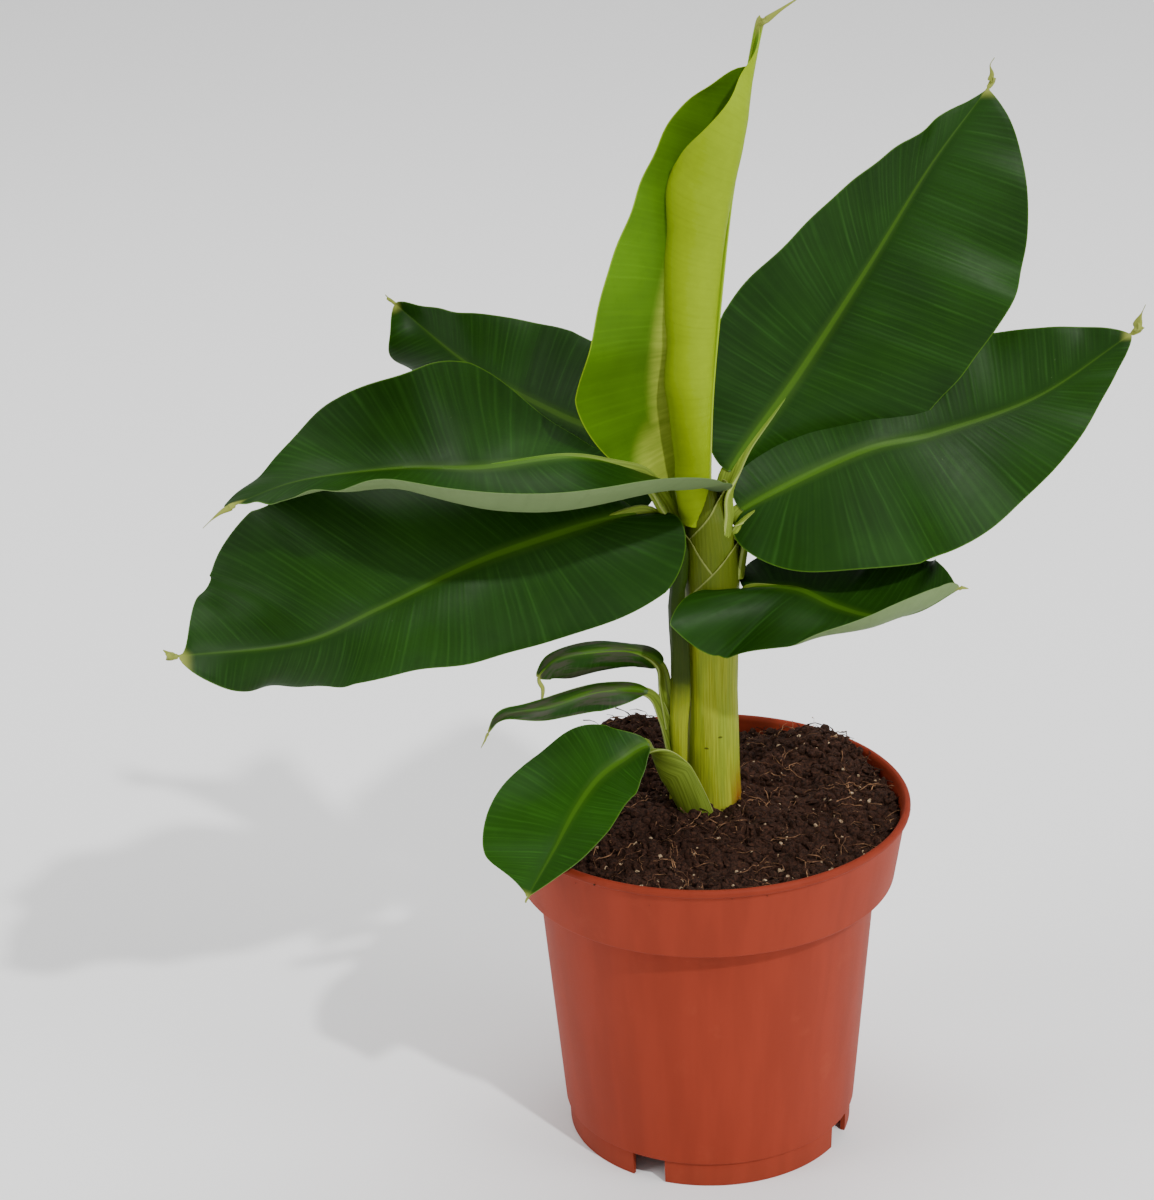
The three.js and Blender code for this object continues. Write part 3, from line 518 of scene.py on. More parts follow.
def leaf_finish(name, upper, under, rib_colour, flesh_colour, veins, dusk=0.0, streaks=0.5,
                glossy=False):
    """Waxy blade: side veins, a pale midrib and margin, a dull underside, and painted glow where
    light shines through.

    `veins` is the side veins' spacing, `streaks` how much they show on the upper
    side and `dusk` how brown that side is; a glossy leaf's underside has no dark base.
    """
    net = Net(name)
    place = net.attribute("place")
    across, along, share = place
    margin, side, stalk = net.attribute("edge")
    # The marks attribute holds the dry tip and the painted glow of light shining through the blade.
    _, fray, painted_glow = net.attribute("marks")
    body = net.place()
    cloud = net.noise(body, 26.0, 2.0)
    mottle = net.noise(body, 3.0, 4.0, 0.6)
    vein, vein_relief = side_veins(net, across, along, veins)
    lighter = tuple(min(1, part * 2.5 + 0.008) for part in upper)
    darker = scaled(upper, 0.6)
    top = net.mix(cloud.step(0.3, 0.7) * 0.7, upper, darker)
    top = net.mix(vein * streaks, top, lighter)
    top = net.mix(net.noise(body, 55.0, 1.0).step(0.5, 0.68) * 0.1, top, lighter)
    top = net.mix(mottle.step(0.5, 0.8) * 0.25, top, darker)
    # Painted glow: light shining through the young blade, painted in the pale stalk colour.
    feather = net.noise(net.vector(across * 0.08, along * 0.7, 9.0), 1.0, 3.0)
    top = net.mix(painted_glow * (0.2 + feather * 1.1), top, tuple(flesh_colour))
    left = (1 - share).math("MAXIMUM", 0.0)
    rib_half = left ** 0.8 * 1.15 + 0.2
    beside = abs(across) / rib_half
    midrib = (1 - beside.step(0.5, 1.3)) * (0.2 + left * 0.5)
    halo = (1 - beside.step(0.6, 3.6)) * (0.08 + left * 0.32)
    top = net.mix(halo, top, rib_colour)
    top = net.mix(midrib, top, scaled(rib_colour, 1.15))
    if dusk:
        streaky = net.noise(net.vector(across * 0.5, along * 0.09, 5.0), 1.0, 3.0)
        top = net.mix(streaky.step(0.42, 0.62) * dusk, top, DUSKY_STREAK)
    line = (1 - margin.step(0.1, 0.5)) * 0.55
    top = net.mix(line, top, scaled(rib_colour, 1.5))
    below = net.mix(vein * 0.45, under, scaled(under, 0.72))
    below = net.mix(mottle.step(0.4, 0.7) * 0.3, below, scaled(under, 1.18))
    below = net.mix(midrib * 0.6, below, scaled(rib_colour, 1.2))
    if not glossy:
        below = net.mix((1 - share.step(0.03, 0.22)) * 0.6, below, UNDER_BASE)
    colour = net.mix(side, below, top)
    flesh = stalk_flesh(net, place, margin, flesh_colour, rib_colour)
    colour = net.mix(stalk * (1 - share.step(0.2, 0.9) * 0.6), colour, flesh)
    colour = net.mix(fray, colour, DRY_TIP)
    scratch = net.noise(net.place((1.0, 0.25, 1.0)), 2.4, 5.0, 0.7).step(0.68, 0.76)
    patch = net.noise(body, 24.0, 1.0).step(0.55, 0.64)
    colour = net.mix(scratch * patch * side * 0.3, colour, LEAF_SCRATCH)
    rough = 0.4 + mottle * 0.12 + (1 - side) * 0.15 + scratch * 0.1
    height = vein_relief + mottle * 0.2 + midrib * 0.5
    return net.finish(colour, rough, height, 0.05, Specular_IOR_Level=0.11)


def stem_finish(settings):
    """Fleshy sheaths: fine lengthways fibres, pale margins, brown at the foot, and a darker top that
    is partly painted shade.
    """
    net = Net("stem_flesh")
    around, level, _ = net.attribute("place")
    margin, side, layer = net.attribute("edge")
    body = net.place()
    base = tuple(settings.colour)
    fibre = net.noise(net.vector(around * 1.6, level * 0.05, layer), 1.0, 4.0, 0.65)
    band = net.noise(net.vector(around * 0.25, level * 0.03, layer), 1.0, 2.0)
    colour = net.mix(fibre.step(0.3, 0.7), scaled(base, 0.72),
                     scaled(base, 1.22))
    colour = net.mix(band.step(0.4, 0.7) * 0.5, colour, STEM_BAND)
    # The top is painted darker: partly its greener tone, partly painted shade from the leaves above.
    colour = net.mix(level.step(180, 208) * 0.85, colour, STEM_TOP_GREEN_AND_SHADE)
    colour = net.mix((1 - level.step(118, 140)) * 0.2, colour, STEM_PALE_BASE)
    edge_line = 1 - margin.step(0.25, 0.9)
    colour = net.mix(edge_line * 0.3, colour, SHEATH_MARGIN)
    shoot_top = layer.step(SHOOT_LAYER - 0.5, SHOOT_LAYER - 0.1) * level.step(156, 174)
    colour = net.mix(shoot_top * 0.92, colour, SHOOT_TOP)
    blot = net.noise(body, 5.0, 4.0, 0.65)
    sideways = net.node("SeparateXYZ", {0: body}, output="X") - POT_AXIS.x / MM
    flank = sideways.step(7.0, 11.0) * (1 - level.step(122, 142))
    colour = net.mix(flank * (0.4 + blot * 0.9), colour, STEM_FLANK)
    foot = (1 - level.step(116, 128)) * blot.step(0.42, 0.62)
    colour = net.mix(foot * 0.8, colour, STEM_FOOT_STAIN)
    for nick_x, nick_z in STEM_NICKS:
        off_side = (sideways - nick_x) ** 2
        off_level = (level - nick_z) ** 2 * 4
        nick = 1 - (off_side + off_level).step(0.2, 0.9)
        colour = net.mix(nick * 0.8, colour, STEM_NICK)
    speck = net.noise(net.vector(around, level * 0.5, layer), 1.3, 2.0).step(0.72, 0.8)
    colour = net.mix(speck * 0.4, colour, STEM_SPECK)
    colour = net.mix(1 - side, colour, SHEATH_INSIDE)
    height = around.wave(1.7) * 0.4 + fibre * 0.6
    return net.finish(colour, 0.42 + blot * 0.12, height, 0.12, Specular_IOR_Level=0.12)


def pot_finish(settings):
    """Moulded plastic: faint flow marks, dust and scuffs, darker towards the foot, and painted shade
    on the top of the lip.
    """
    net = Net("pot_plastic")
    body = net.place()
    base = tuple(settings.colour)
    flow = net.noise(net.place((1.0, 1.0, 0.12)), 9.0, 3.0)
    fleck = net.noise(body, 0.8, 3.0, 0.7)
    dust = net.noise(body, 14.0, 5.0, 0.65)
    level = net.node("SeparateXYZ", {0: body}, output="Z")
    colour = net.mix(flow.step(0.35, 0.65), scaled(base, 0.93),
                     scaled(base, 1.05))
    colour = net.mix(fleck.step(0.66, 0.8) * 0.18, colour, POT_FLECK)
    colour = net.mix(dust.step(0.56, 0.8) * 0.14, colour, POT_DUST)
    # The foot is darker towards the bottom.
    colour = net.mix((1 - level.step(2, 14)) * 0.12, colour, POT_FOOT_DARKER)
    scuff = net.noise(net.place((0.3, 0.3, 2.2)), 3.4, 5.0, 0.7).step(0.68, 0.76)
    colour = net.mix(scuff * dust.step(0.5, 0.7) * 0.3, colour, POT_SCUFF)
    # Painted shade: the lip's top, which faces the light, is painted darker.
    lip = level.step(POT_HEIGHT - 3.4, POT_HEIGHT - 2.2)
    colour = net.mix(lip * 0.35, colour, scaled(base, 0.55))
    rough = 0.48 + fleck * 0.12 + dust * 0.1
    height = fleck * 0.5 + flow * 0.5 + level.wave(1.1) * 0.05
    return net.finish(colour, rough, height, 0.05, Specular_IOR_Level=0.1)


def soil_finish(name, dark, light, grain):
    """Damp crumbly peat, or the dry bits that lie in it."""
    net = Net(name)
    body = net.place()
    coarse = net.noise(body, grain * 4, 5.0, 0.7)
    fine = net.noise(body, grain, 5.0, 0.7)
    colour = net.mix(fine.step(0.35, 0.72), dark, light)
    colour = net.mix(coarse.step(0.55, 0.75) * 0.5, colour, scaled(dark, 0.6))
    return net.finish(colour, 0.86 + fine * 0.1, fine + coarse, 0.4, Specular_IOR_Level=0.2)


def floor_finish(colour):
    """Matt, almost white studio floor."""
    net = Net("studio_floor")
    cloud = net.noise(net.place(), 900.0, 2.0)
    return net.finish(net.mix(cloud, colour, scaled(colour, 0.995)), 0.9,
                      Specular_IOR_Level=0.0)


# ------------------------------------------------------------------ curves ---

def unit(vectors):
    return vectors / np.linalg.norm(vectors, axis=-1, keepdims=True)


def turns(count):
    """Angles evenly spaced round a full turn."""
    return np.arange(count) * math.tau / count


def along(values, share):
    """Smooth values at shares (0..1) of a row of evenly spaced ones."""
    row = np.array(values, float).reshape(len(values), -1)
    share = np.clip(np.atleast_1d(share), 0, 1)
    if len(row) == 1:
        return np.repeat(row, len(share), axis=0)
    padded = np.vstack([2 * row[0] - row[1], row, 2 * row[-1] - row[-2]])
    place = share * (len(row) - 1)
    first = np.minimum(place.astype(int), len(row) - 2)
    u = (place - first)[:, None]
    a, b, c, d = (padded[first + k] for k in range(4))
    return 0.5 * (2 * b + (c - a) * u + (2 * a - 5 * b + 4 * c - d) * u ** 2
                  + (3 * b - a - 3 * c + d) * u ** 3)


def straight(values, share):
    """Values at shares of a row of evenly spaced ones, on straight lines."""
    row = np.array(values, float).reshape(len(values), -1)
    places = np.linspace(0, 1, len(row))
    return np.stack([np.interp(share, places, column) for column in row.T], axis=1)


def ease(value, low, high):
    """0 below low, 1 above high and smooth between them."""
    part = np.clip((value - low) / (high - low), 0, 1)
    return part * part * (3 - 2 * part)


class Curve:
    """A smooth curve through control points, measured by its length."""

    FINE = 60

    def __init__(self, controls):
        count = (len(controls) - 1) * self.FINE
        self.points = along(controls, np.linspace(0, 1, count + 1))
        steps = np.linalg.norm(np.diff(self.points, axis=0), axis=1)
        self.lengths = np.concatenate([[0], np.cumsum(steps)])

    def length_at(self, control):
        return self.lengths[control * self.FINE]

    def point(self, length):
        return np.stack([np.interp(length, self.lengths, self.points[:, k]) for k in range(3)], 1)

    def tangent(self, length):
        reach = 0.8
        return unit(self.point(length + reach) - self.point(length - reach))


def beside(leaf, share, tangents, stalk=None):
    """Right-hand and upward directions beside a rib; `stalk` is 1 down on a turned stalk."""
    hints = along(unit(np.array(leaf["across"], float)), share)
    if stalk is not None and "stalk_across" in leaf:
        turned = unit(np.array(leaf["stalk_across"], float))
        hints = hints + (turned - hints) * stalk[:, None]
    flat = hints - tangents * np.sum(hints * tangents, axis=1, keepdims=True)
    right = unit(flat)
    return right, np.cross(right, tangents)


# ----------------------------------------------------------------- meshes ---

def to_frame(points):
    """Metres in the shared frame, from millimetres round the pot's axis."""
    return np.asarray(points, float) * MM + np.array([POT_AXIS.x, POT_AXIS.y, 0.0])


def grid_faces(rows, columns, around=False):
    """Quads of a grid of points; `around` joins the last column to the first."""
    i, k = np.meshgrid(np.arange(rows - 1), np.arange(columns if around else columns - 1),
                       indexing="ij")
    following = (k + 1) % columns
    return np.stack([i * columns + k, i * columns + following,
                     (i + 1) * columns + following, (i + 1) * columns + k], -1).reshape(-1, 4)


def border_of(rows, columns):
    """Points round a grid's border, in the direction its quads run."""
    last = (rows - 1) * columns
    return np.concatenate([
        np.arange(columns - 1),
        np.arange(rows - 1) * columns + columns - 1,
        last + np.arange(columns - 1, 0, -1),
        np.arange(rows - 1, 0, -1) * columns,
    ])


class Shell:
    """Points, faces and per-point values that are gathered into one mesh."""

    def __init__(self):
        self.points = []
        self.quads = []
        self.loose = []
        self.values = {"place": [], "edge": [], "marks": []}
        self.count = 0

    def add(self, points, quads, place=None, edge=None, marks=None, loose=()):
        points = np.asarray(points, float).reshape(-1, 3)
        self.points.append(points)
        self.quads.append(np.asarray(quads).reshape(-1, 4) + self.count)
        self.loose += [[corner + self.count for corner in face] for face in loose]
        for name, given in (("place", place), ("edge", edge), ("marks", marks)):
            full = np.zeros_like(points)
            if given is not None:
                full = np.stack(np.broadcast_arrays(*[np.asarray(g, float) for g in given]), -1)
                full = np.broadcast_to(full.reshape(-1, 3), points.shape)
            self.values[name].append(full)
        self.count += len(points)

    def add_sheet(self, upper, lower, place, edges, marks=None):
        """Closed sheet between two grids; `edges` holds the upper and the lower edge values."""
        rows, columns = upper.shape[:2]
        size = rows * columns
        faces = grid_faces(rows, columns)
        border = border_of(rows, columns)
        following = np.roll(border, -1)
        wall = np.stack([following, border, border + size, following + size], -1)
        both = [np.concatenate([np.broadcast_to(part, (rows, columns)).ravel()] * 2)
                for part in place]
        edge = [np.concatenate([np.broadcast_to(part, (rows, columns)).ravel() for part in pair])
                for pair in zip(*edges)]
        if marks is not None:
            marks = [np.concatenate([np.broadcast_to(part, (rows, columns)).ravel()] * 2)
                     for part in marks]
        self.add(np.concatenate([upper.reshape(-1, 3), lower.reshape(-1, 3)]),
                 np.concatenate([faces, faces[:, ::-1] + size, wall]), both, edge, marks)

    def add_tube(self, rings, place, edge, marks=None):
        """Closed tube through rings of points."""
        rows, columns = rings.shape[:2]
        first = list(range(columns))[::-1]
        last = [(rows - 1) * columns + k for k in range(columns)]
        parts = [[np.broadcast_to(part, (rows, columns)).ravel() for part in group]
                 if group is not None else None for group in (place, edge, marks)]
        self.add(rings, grid_faces(rows, columns, around=True), *parts, loose=[first, last])

    def finish(self, name, material, sharp=42):
        """One object with its place in its mesh."""
        mesh = bpy.data.meshes.new(name)
        points = to_frame(np.concatenate(self.points))
        quads = np.concatenate(self.quads).tolist() if self.quads else []
        mesh.from_pydata(points.tolist(), [], quads + self.loose)
        for key, chunks in self.values.items():
            layer = mesh.attributes.new(key, "FLOAT_VECTOR", "POINT")
            layer.data.foreach_set("vector", np.concatenate(chunks).astype(np.float32).ravel())
        coat(mesh, material)
        mesh.validate(clean_customdata=False)
        smooth(mesh, sharp)
        return put(name, mesh)


def coat(mesh, material):
    """The mesh has this material and no other."""
    mesh.materials.clear()
    mesh.materials.append(material)


def smooth(mesh, sharp):
    """Smooth shading, apart from the edges sharper than an angle in degrees."""
    mesh.shade_smooth()
    mesh.set_sharp_from_angle(angle=math.radians(sharp))


def put(name, data):
    """New object of some data, linked to the scene."""
    made = bpy.data.objects.new(name, data)
    bpy.context.scene.collection.objects.link(made)
    return made


def settle(piece, slot, *nodes):
    """The piece rides on the plant's one body and stands for its nodes."""
    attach(piece, "root")
    if nodes:
        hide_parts(*nodes)


# ------------------------------------------------------------------ leaves ---

# Lengths of the blade's soft waves at its margin, and their height as a part of them.
WAVE_PERIODS = (41.0, 27.0, 17.0)
WAVE_HEIGHT = 0.022
# The least width of a half, so that its rows never close up.
LEAST_WIDTH = 0.6


def half_shape(side, share):
    """Width of one half along the rib, as a part of its greatest width."""
    first, last = side["span"]
    share = np.clip((share - first) / (last - first), 0, 1)
    back = np.clip((side["belly"] - share) / side["belly"], 0, 1)
    ahead = np.clip((share - side["belly"]) / (1 - side["belly"]), 0, 1)
    base_part = (1 - back ** side["blunt"]) ** (1 / side["blunt"])
    tip_part = (1 - ahead ** side["taper"]) ** side["point"]
    return np.where(share < side["belly"], base_part, tip_part)


def half_grid(side, sign, share, points, tangents, right, up, columns):
    """Middle surface of one half: rows follow the side veins outward."""
    width = np.maximum(side["width"] * half_shape(side, share), LEAST_WIDTH)
    slant = np.radians(along(side["slant"], share))
    fold = np.radians(along(side["fold"], share))
    if side["coil"]:
        bend = width[:, None] / along(side["coil"], share)
    else:
        bend = np.radians(along(side["curl"], share))
    steps = np.arange(columns) + 0.5
    angle = fold + bend * steps / columns
    out = (sign * np.cos(angle)[..., None] * right[:, None]
           + np.sin(angle)[..., None] * up[:, None])
    step = out * np.cos(slant)[..., None] + tangents[:, None] * np.sin(slant)[..., None]
    path = np.cumsum(step * (width / columns)[:, None, None], axis=1)
    grid = points[:, None] + np.concatenate([np.zeros((len(share), 1, 3)), path], axis=1)
    return grid, width


def add_blade(shell, leaf, settings, stations, columns, seed):
    """Both halves of a blade as one thin sheet with pleats and a soft wave."""
    curve = Curve(leaf["stalk"] + leaf["rib"])
    start = curve.length_at(len(leaf["stalk"]))
    length = curve.lengths[-1] - start
    share = ((np.arange(stations) + 0.35) / (stations - 0.5)) ** 1.3
    place = start + share * length
    points, tangents = curve.point(place), curve.tangent(place)
    right, up = beside(leaf, share, tangents)
    frames = (share, points, tangents, right, up, columns)
    left_grid, left_width = half_grid(leaf["left"], -1, *frames)
    right_grid, right_width = half_grid(leaf["right"], 1, *frames)
    middle = np.concatenate([left_grid[:, :0:-1], right_grid], axis=1)
    outward = np.concatenate([-np.arange(columns, 0, -1), np.arange(columns + 1)]) / columns
    width = np.where(outward[None] < 0, left_width[:, None], right_width[:, None])
    across = outward[None] * width
    margin = (1 - np.abs(outward[None])) * width
    arc = (share * length)[:, None]

    def normals_of(grid):
        return unit(np.cross(np.gradient(grid, axis=1), np.gradient(grid, axis=0)))

    normals = normals_of(middle)
    spacing = settings.pleat_spacing / MM
    calm = ease(np.abs(across), 1.0, 7.0) * ease(margin, 0.0, 3.0)
    pleat = (settings.pleat_relief / MM) * np.sin(arc * math.tau / spacing) * calm
    random = np.random.default_rng(seed)
    wave = np.zeros_like(across)
    for period in WAVE_PERIODS:
        shift = random.uniform(0, math.tau, 2)
        phase = np.where(outward < 0, shift[0], shift[1])[None]
        wave += WAVE_HEIGHT * period * np.sin(arc * math.tau / period + phase)
    wave *= np.abs(outward[None]) ** 2.2 * ease(width, 3.0, 16.0)
    middle = middle + normals * (pleat + wave)[..., None]
    normals = normals_of(middle)
    thick = settings.thickness / MM / 2 * (0.45 + 0.55 * ease(margin, 0.0, 2.5))
    groove = 0.35 * np.exp(-(across / 1.1) ** 2) * (1 - share[:, None])
    upper = middle + normals * (thick - groove)[..., None]
    lower = middle - normals * thick[..., None]
    fray = ease(share[:, None], 0.965, 1.0) * np.ones_like(across)
    # Painted glow: spots where light shines through the blade are painted pale; they ride in the
    # marks attribute.
    painted_glow = np.zeros_like(across)
    for spot_across, spot_along, wide, long in leaf.get("glow", ()):
        spread = ((across - spot_across) / wide) ** 2 + ((arc - spot_along) / long) ** 2
        painted_glow = np.maximum(painted_glow, 1 - ease(spread, 0.1, 1.4))
    above = (margin, 1.0, 0.0)
    beneath = (margin, 0.0, 0.0)
    shell.add_sheet(upper, lower, (across, arc + 0 * across, share[:, None] + 0 * across),
                    (above, beneath), (0 * across, fray, painted_glow))


def add_rib(shell, leaf, rings=110, tip_rings=26, sides=24):
    """Stalk, midrib and the thread at the tip in one grooved tube."""
    controls = leaf["stalk"] + leaf["rib"]
    tip = [list(np.add(controls[-1], offset)) for offset in leaf["tip"]]
    curve = Curve(controls + tip)
    base = curve.length_at(len(leaf["stalk"]))
    end = curve.length_at(len(controls) - 1)
    place = np.concatenate([np.linspace(0, end, rings)[:-1],
                            np.linspace(end, curve.lengths[-1] - 0.01, tip_rings)])
    points, tangents = curve.point(place), curve.tangent(place)
    share = np.clip(place / end, 0, 1)
    right, up = beside(leaf, share, tangents, 1 - ease(place, base * 0.6, base + 5))
    in_blade = ease(place, base - 2, base + 13)
    shrink = 0.94 - 0.4 * in_blade
    size = straight(leaf["rib_size"], share) * shrink[:, None]
    size *= (1 - 0.45 * ease(share, 0.6, 1.0))[:, None]
    thread = along(leaf["tip_size"], (place - end) / (curve.lengths[-1] - end))
    size = np.where(place[:, None] > end, thread, size)
    angle = turns(sides)
    x, y = np.cos(angle)[None], np.sin(angle)[None]
    groove = (0.7 - 0.35 * in_blade)[:, None] * (1 - 0.9 * ease(share, 0.85, 1.0)[:, None])
    top = 0.55 * y - groove * (1 - x ** 2) ** 2
    profile = np.where(y > 0, top, y) - 0.42 * in_blade[:, None]
    stripes = 1 + 0.018 * np.cos(angle * 11)[None]
    rings_of = (points[:, None] + right[:, None] * (x * size[:, :1] * stripes)[..., None]
                + up[:, None] * (profile * size[:, 1:])[..., None])
    around = angle[None] * size[:, :1]
    lip = np.where(y > -0.2, np.abs(np.abs(x) - 1) * size[:, :1], 4.0)
    at = (place - base)[:, None]
    fray = ease(place, end - 3, end + 1)[:, None]
    blade_share = np.clip((place - base) / (end - base), -1, 1)[:, None]
    shell.add_tube(rings_of, (around, at, np.maximum(blade_share, 0)),
                   (lip, np.where(y > 0, 1.0, 0.0), 1.0), (0.0, fray, 0.0))


def make_leaf(name, leaf, settings, material, seed, slot="grown_leaf", stations=230, columns=26):
    """One leaf's blade, stalk and midrib as one piece."""
    shell = Shell()
    add_blade(shell, leaf, settings, stations, columns, seed)
    add_rib(shell, leaf)
    piece = shell.finish(name + "_blade", material, sharp=50)
    settle(piece, slot, name)


# ------------------------------------------------------------------- stems ---

def stem_rows(rows, level):
    """Middle and radius of a stem at some heights."""
    table = np.array(rows, float)
    return np.stack([np.interp(level, table[:, 2], table[:, k]) for k in (0, 1, 3)], 1)


def ribbed(radius, angle, settings, phase=0.0):
    """A radius with fine lengthways ribs."""
    count = np.round(math.tau * STEM_GIRTH / (settings.rib_spacing / MM))
    return radius + settings.rib_relief / MM * np.cos(angle * count + phase)


def add_round_stem(shell, rows, settings, high, layer, inset=0.0, sides=96):
    """Round stem from the soil up, through rows of [x, y, z, radius]."""
    level = np.linspace(STEM_FOOT, high, 60)
    middle = stem_rows(rows, level)
    angle = turns(sides)
    radius = ribbed((middle[:, 2] - inset)[:, None], angle[None], settings, layer)
    height = level[:, None] + 0 * radius
    ring = np.stack([middle[:, :1] + radius * np.cos(angle),
                     middle[:, 1:2] + radius * np.sin(angle), height], -1)
    shell.add_tube(ring, (angle[None] * STEM_GIRTH + 0 * radius, height, 0.0),
                   (20.0, 1.0, layer))


def add_sheath(shell, leaf, layer, levels, reaches, settings, sides=72, stations=110):
    """Crescent-shaped sheath round the stem that narrows into the leaf's stalk."""
    low, narrow, top = levels
    foot = np.array(leaf["stalk"][0], float)
    tangent = Curve(leaf["stalk"] + leaf["rib"]).tangent(np.array([1.0]))
    right, up = beside(leaf, np.array([0.0]), tangent, np.ones(1))
    inward = unit(np.array([up[0][0], up[0][1], 0.0]))
    sidewards = np.array([-inward[1], inward[0], 0.0])
    level = np.linspace(low, top, stations)
    stem = stem_rows(STEM, level)
    part = np.clip((level - narrow) / (top - narrow), 0, 1)
    shift = ease(part, 0.6, 1.0)
    wide = leaf["rib_size"][0][0] * 0.97
    middle = np.stack([stem[:, 0] + (foot[0] - stem[:, 0]) * shift,
                       stem[:, 1] + (foot[1] - stem[:, 1]) * shift, level], 1)
    radius = (stem[:, 2] - settings.sheath / MM * 0.55 * layer) * (1 - shift) + wide * shift
    reach = np.radians(reaches[0] + (reaches[1] - reaches[0]) * part)
    across = np.linspace(-1, 1, sides)[None]
    angle = across * reach[:, None]
    outer = ribbed(radius[:, None], angle, settings, layer * 1.3)
    thick = settings.sheath / MM * (0.3 + 0.7 * (1 - across ** 6)) * np.ones_like(outer)

    def ring(reach_out):
        return (middle[:, None] + sidewards * (np.sin(angle) * reach_out)[..., None]
                - inward * (np.cos(angle) * reach_out)[..., None])

    margin = (1 - np.abs(across)) * reach[:, None] * radius[:, None]
    around = angle * STEM_GIRTH
    height = level[:, None] + 0 * angle
    ones = np.ones_like(angle)
    outside, inside = ring(outer), ring(outer - thick)
    probe = np.cross(outside[1, 1] - outside[1, 0], outside[2, 0] - outside[1, 0])
    if np.dot(probe, outside[1, 0] - middle[1]) < 0:
        outside, inside = outside[:, ::-1], inside[:, ::-1]
        margin, around = margin[:, ::-1], around[:, ::-1]
    shell.add_sheet(outside, inside, (around, height, part[:, None] * ones),
                    ((margin, ones, layer * ones), (margin, 0.3 * ones, layer * ones)))


def make_stems(settings, material):
    shell = Shell()
    add_round_stem(shell, STEM, settings, STEM_CORE_TOP, CORE_LAYER, STEM_CORE_INSET)
    for layer, (name, *levels, wide, narrow) in enumerate(SHEATHS):
        add_sheath(shell, GROWN_LEAVES[name], layer, levels, (wide, narrow), settings)
    settle(shell.finish("stem_sheaths", material), "stem_flesh", "pseudostem")
    shell = Shell()
    rows = SIDE_STEM + SIDE_STEM_END
    add_round_stem(shell, rows, settings, rows[-1][2], SHOOT_LAYER, sides=48)
    settle(shell.finish("side_shoot", material), "stem_flesh", "side_stem")


# --------------------------------------------------------------------- pot ---

def rounded(corners, steps=5):
    """Closed section with its corners rounded: [radius, z, corner radius] rows."""
    points = []
    for i, (r, z, bend) in enumerate(corners):
        here = np.array([r, z])
        before = np.array(corners[i - 1][:2]) - here
        after = np.array(corners[(i + 1) % len(corners)][:2]) - here
        if bend == 0:
            points.append(here)
            continue
        reach = min(bend, np.linalg.norm(before) * 0.45, np.linalg.norm(after) * 0.45)
        first, last = here + reach * unit(before), here + reach * unit(after)
        for u in np.linspace(0, 1, steps):
            points.append((1 - u) ** 2 * first + 2 * u * (1 - u) * here + u * u * last)
    return np.array(points)


def pot_section(lip):
    """Corners of the pot's wall: outside from the foot up, then inside down."""
    foot, body_low, body_high, band_low, band_high = 49.9, 51.2, 58.4, 65.2, 68.6
    step, ledge, floor = 9.3, 97.0, 11.2
    top, under = POT_HEIGHT, POT_HEIGHT - lip
    rim = RIM_RADIUS

    def inside(z):
        return body_low + (body_high - body_low) * (z - step) / (ledge - step) - WALL

    return [
        [foot - WALL, 0, 0.3], [foot, 0, 0.4], [foot + 0.3, step, 0],
        [body_low, step, 0.5], [body_high, ledge, 0.9], [band_low - 0.5, ledge, 0.9],
        [band_high, under, 0.3], [rim - 0.5, under, 0.2], [rim, under + 0.5, 0.5],
        [rim, top - 0.9, 0.7], [rim - 0.9, top, 0.6], [rim - 1.9, top, 0.6],
        [rim - 2.7, top - 1.2, 0.5], [band_high - WALL, under, 0.4],
        [band_low - WALL, ledge + WALL, 0.5], [inside(ledge + WALL), ledge + WALL, 0.7],
        [inside(floor), floor, 1.2], [0.02, floor, 0], [0.02, floor - WALL, 0],
        [foot - WALL, floor - WALL, 0.6],
    ]


# Openings in the foot ring, with a drain hole in the floor between each two.
OPENINGS = 4
OPENING_RING = 50.0
OPENING_DEPTH = 10
DRAIN_RADIUS = 4.5
DRAIN_RING = 34.0
DRAIN_LEVELS = (7, 14)
DRAIN_SIDES = 32
BOX_FACES = [[0, 1, 3, 2], [4, 6, 7, 5], [0, 4, 5, 1], [2, 3, 7, 6], [0, 2, 6, 4], [1, 5, 7, 3]]


def outward_at(angle):
    return np.array([math.cos(angle), math.sin(angle), 0])


def foot_cutter(settings):
    """Cutter for the openings in the foot and the holes in the floor."""
    shell = Shell()
    wide, high = settings.notch_width / MM, settings.notch_height / MM
    below = -2
    corners = np.array([[x, y, z] for x in (-OPENING_DEPTH / 2, OPENING_DEPTH / 2)
                        for y in (-wide / 2, wide / 2) for z in (below, high)], float)
    turn = turns(DRAIN_SIDES)
    for n in range(OPENINGS):
        angle = settings.notch_turn + n * math.tau / OPENINGS
        out = outward_at(angle)
        side = np.array([-out[1], out[0], 0])
        box = corners[:, :1] * out + corners[:, 1:2] * side + corners[:, 2:] * [0, 0, 1]
        shell.add(box + out * OPENING_RING, BOX_FACES)
        spot = outward_at(angle + math.pi / OPENINGS) * DRAIN_RING
        ring = np.stack([np.cos(turn) * DRAIN_RADIUS, np.sin(turn) * DRAIN_RADIUS, 0 * turn], -1)
        ends = [ring + spot + [0, 0, level] for level in DRAIN_LEVELS]
        shell.add_tube(np.stack(ends), None, None)
    return shell


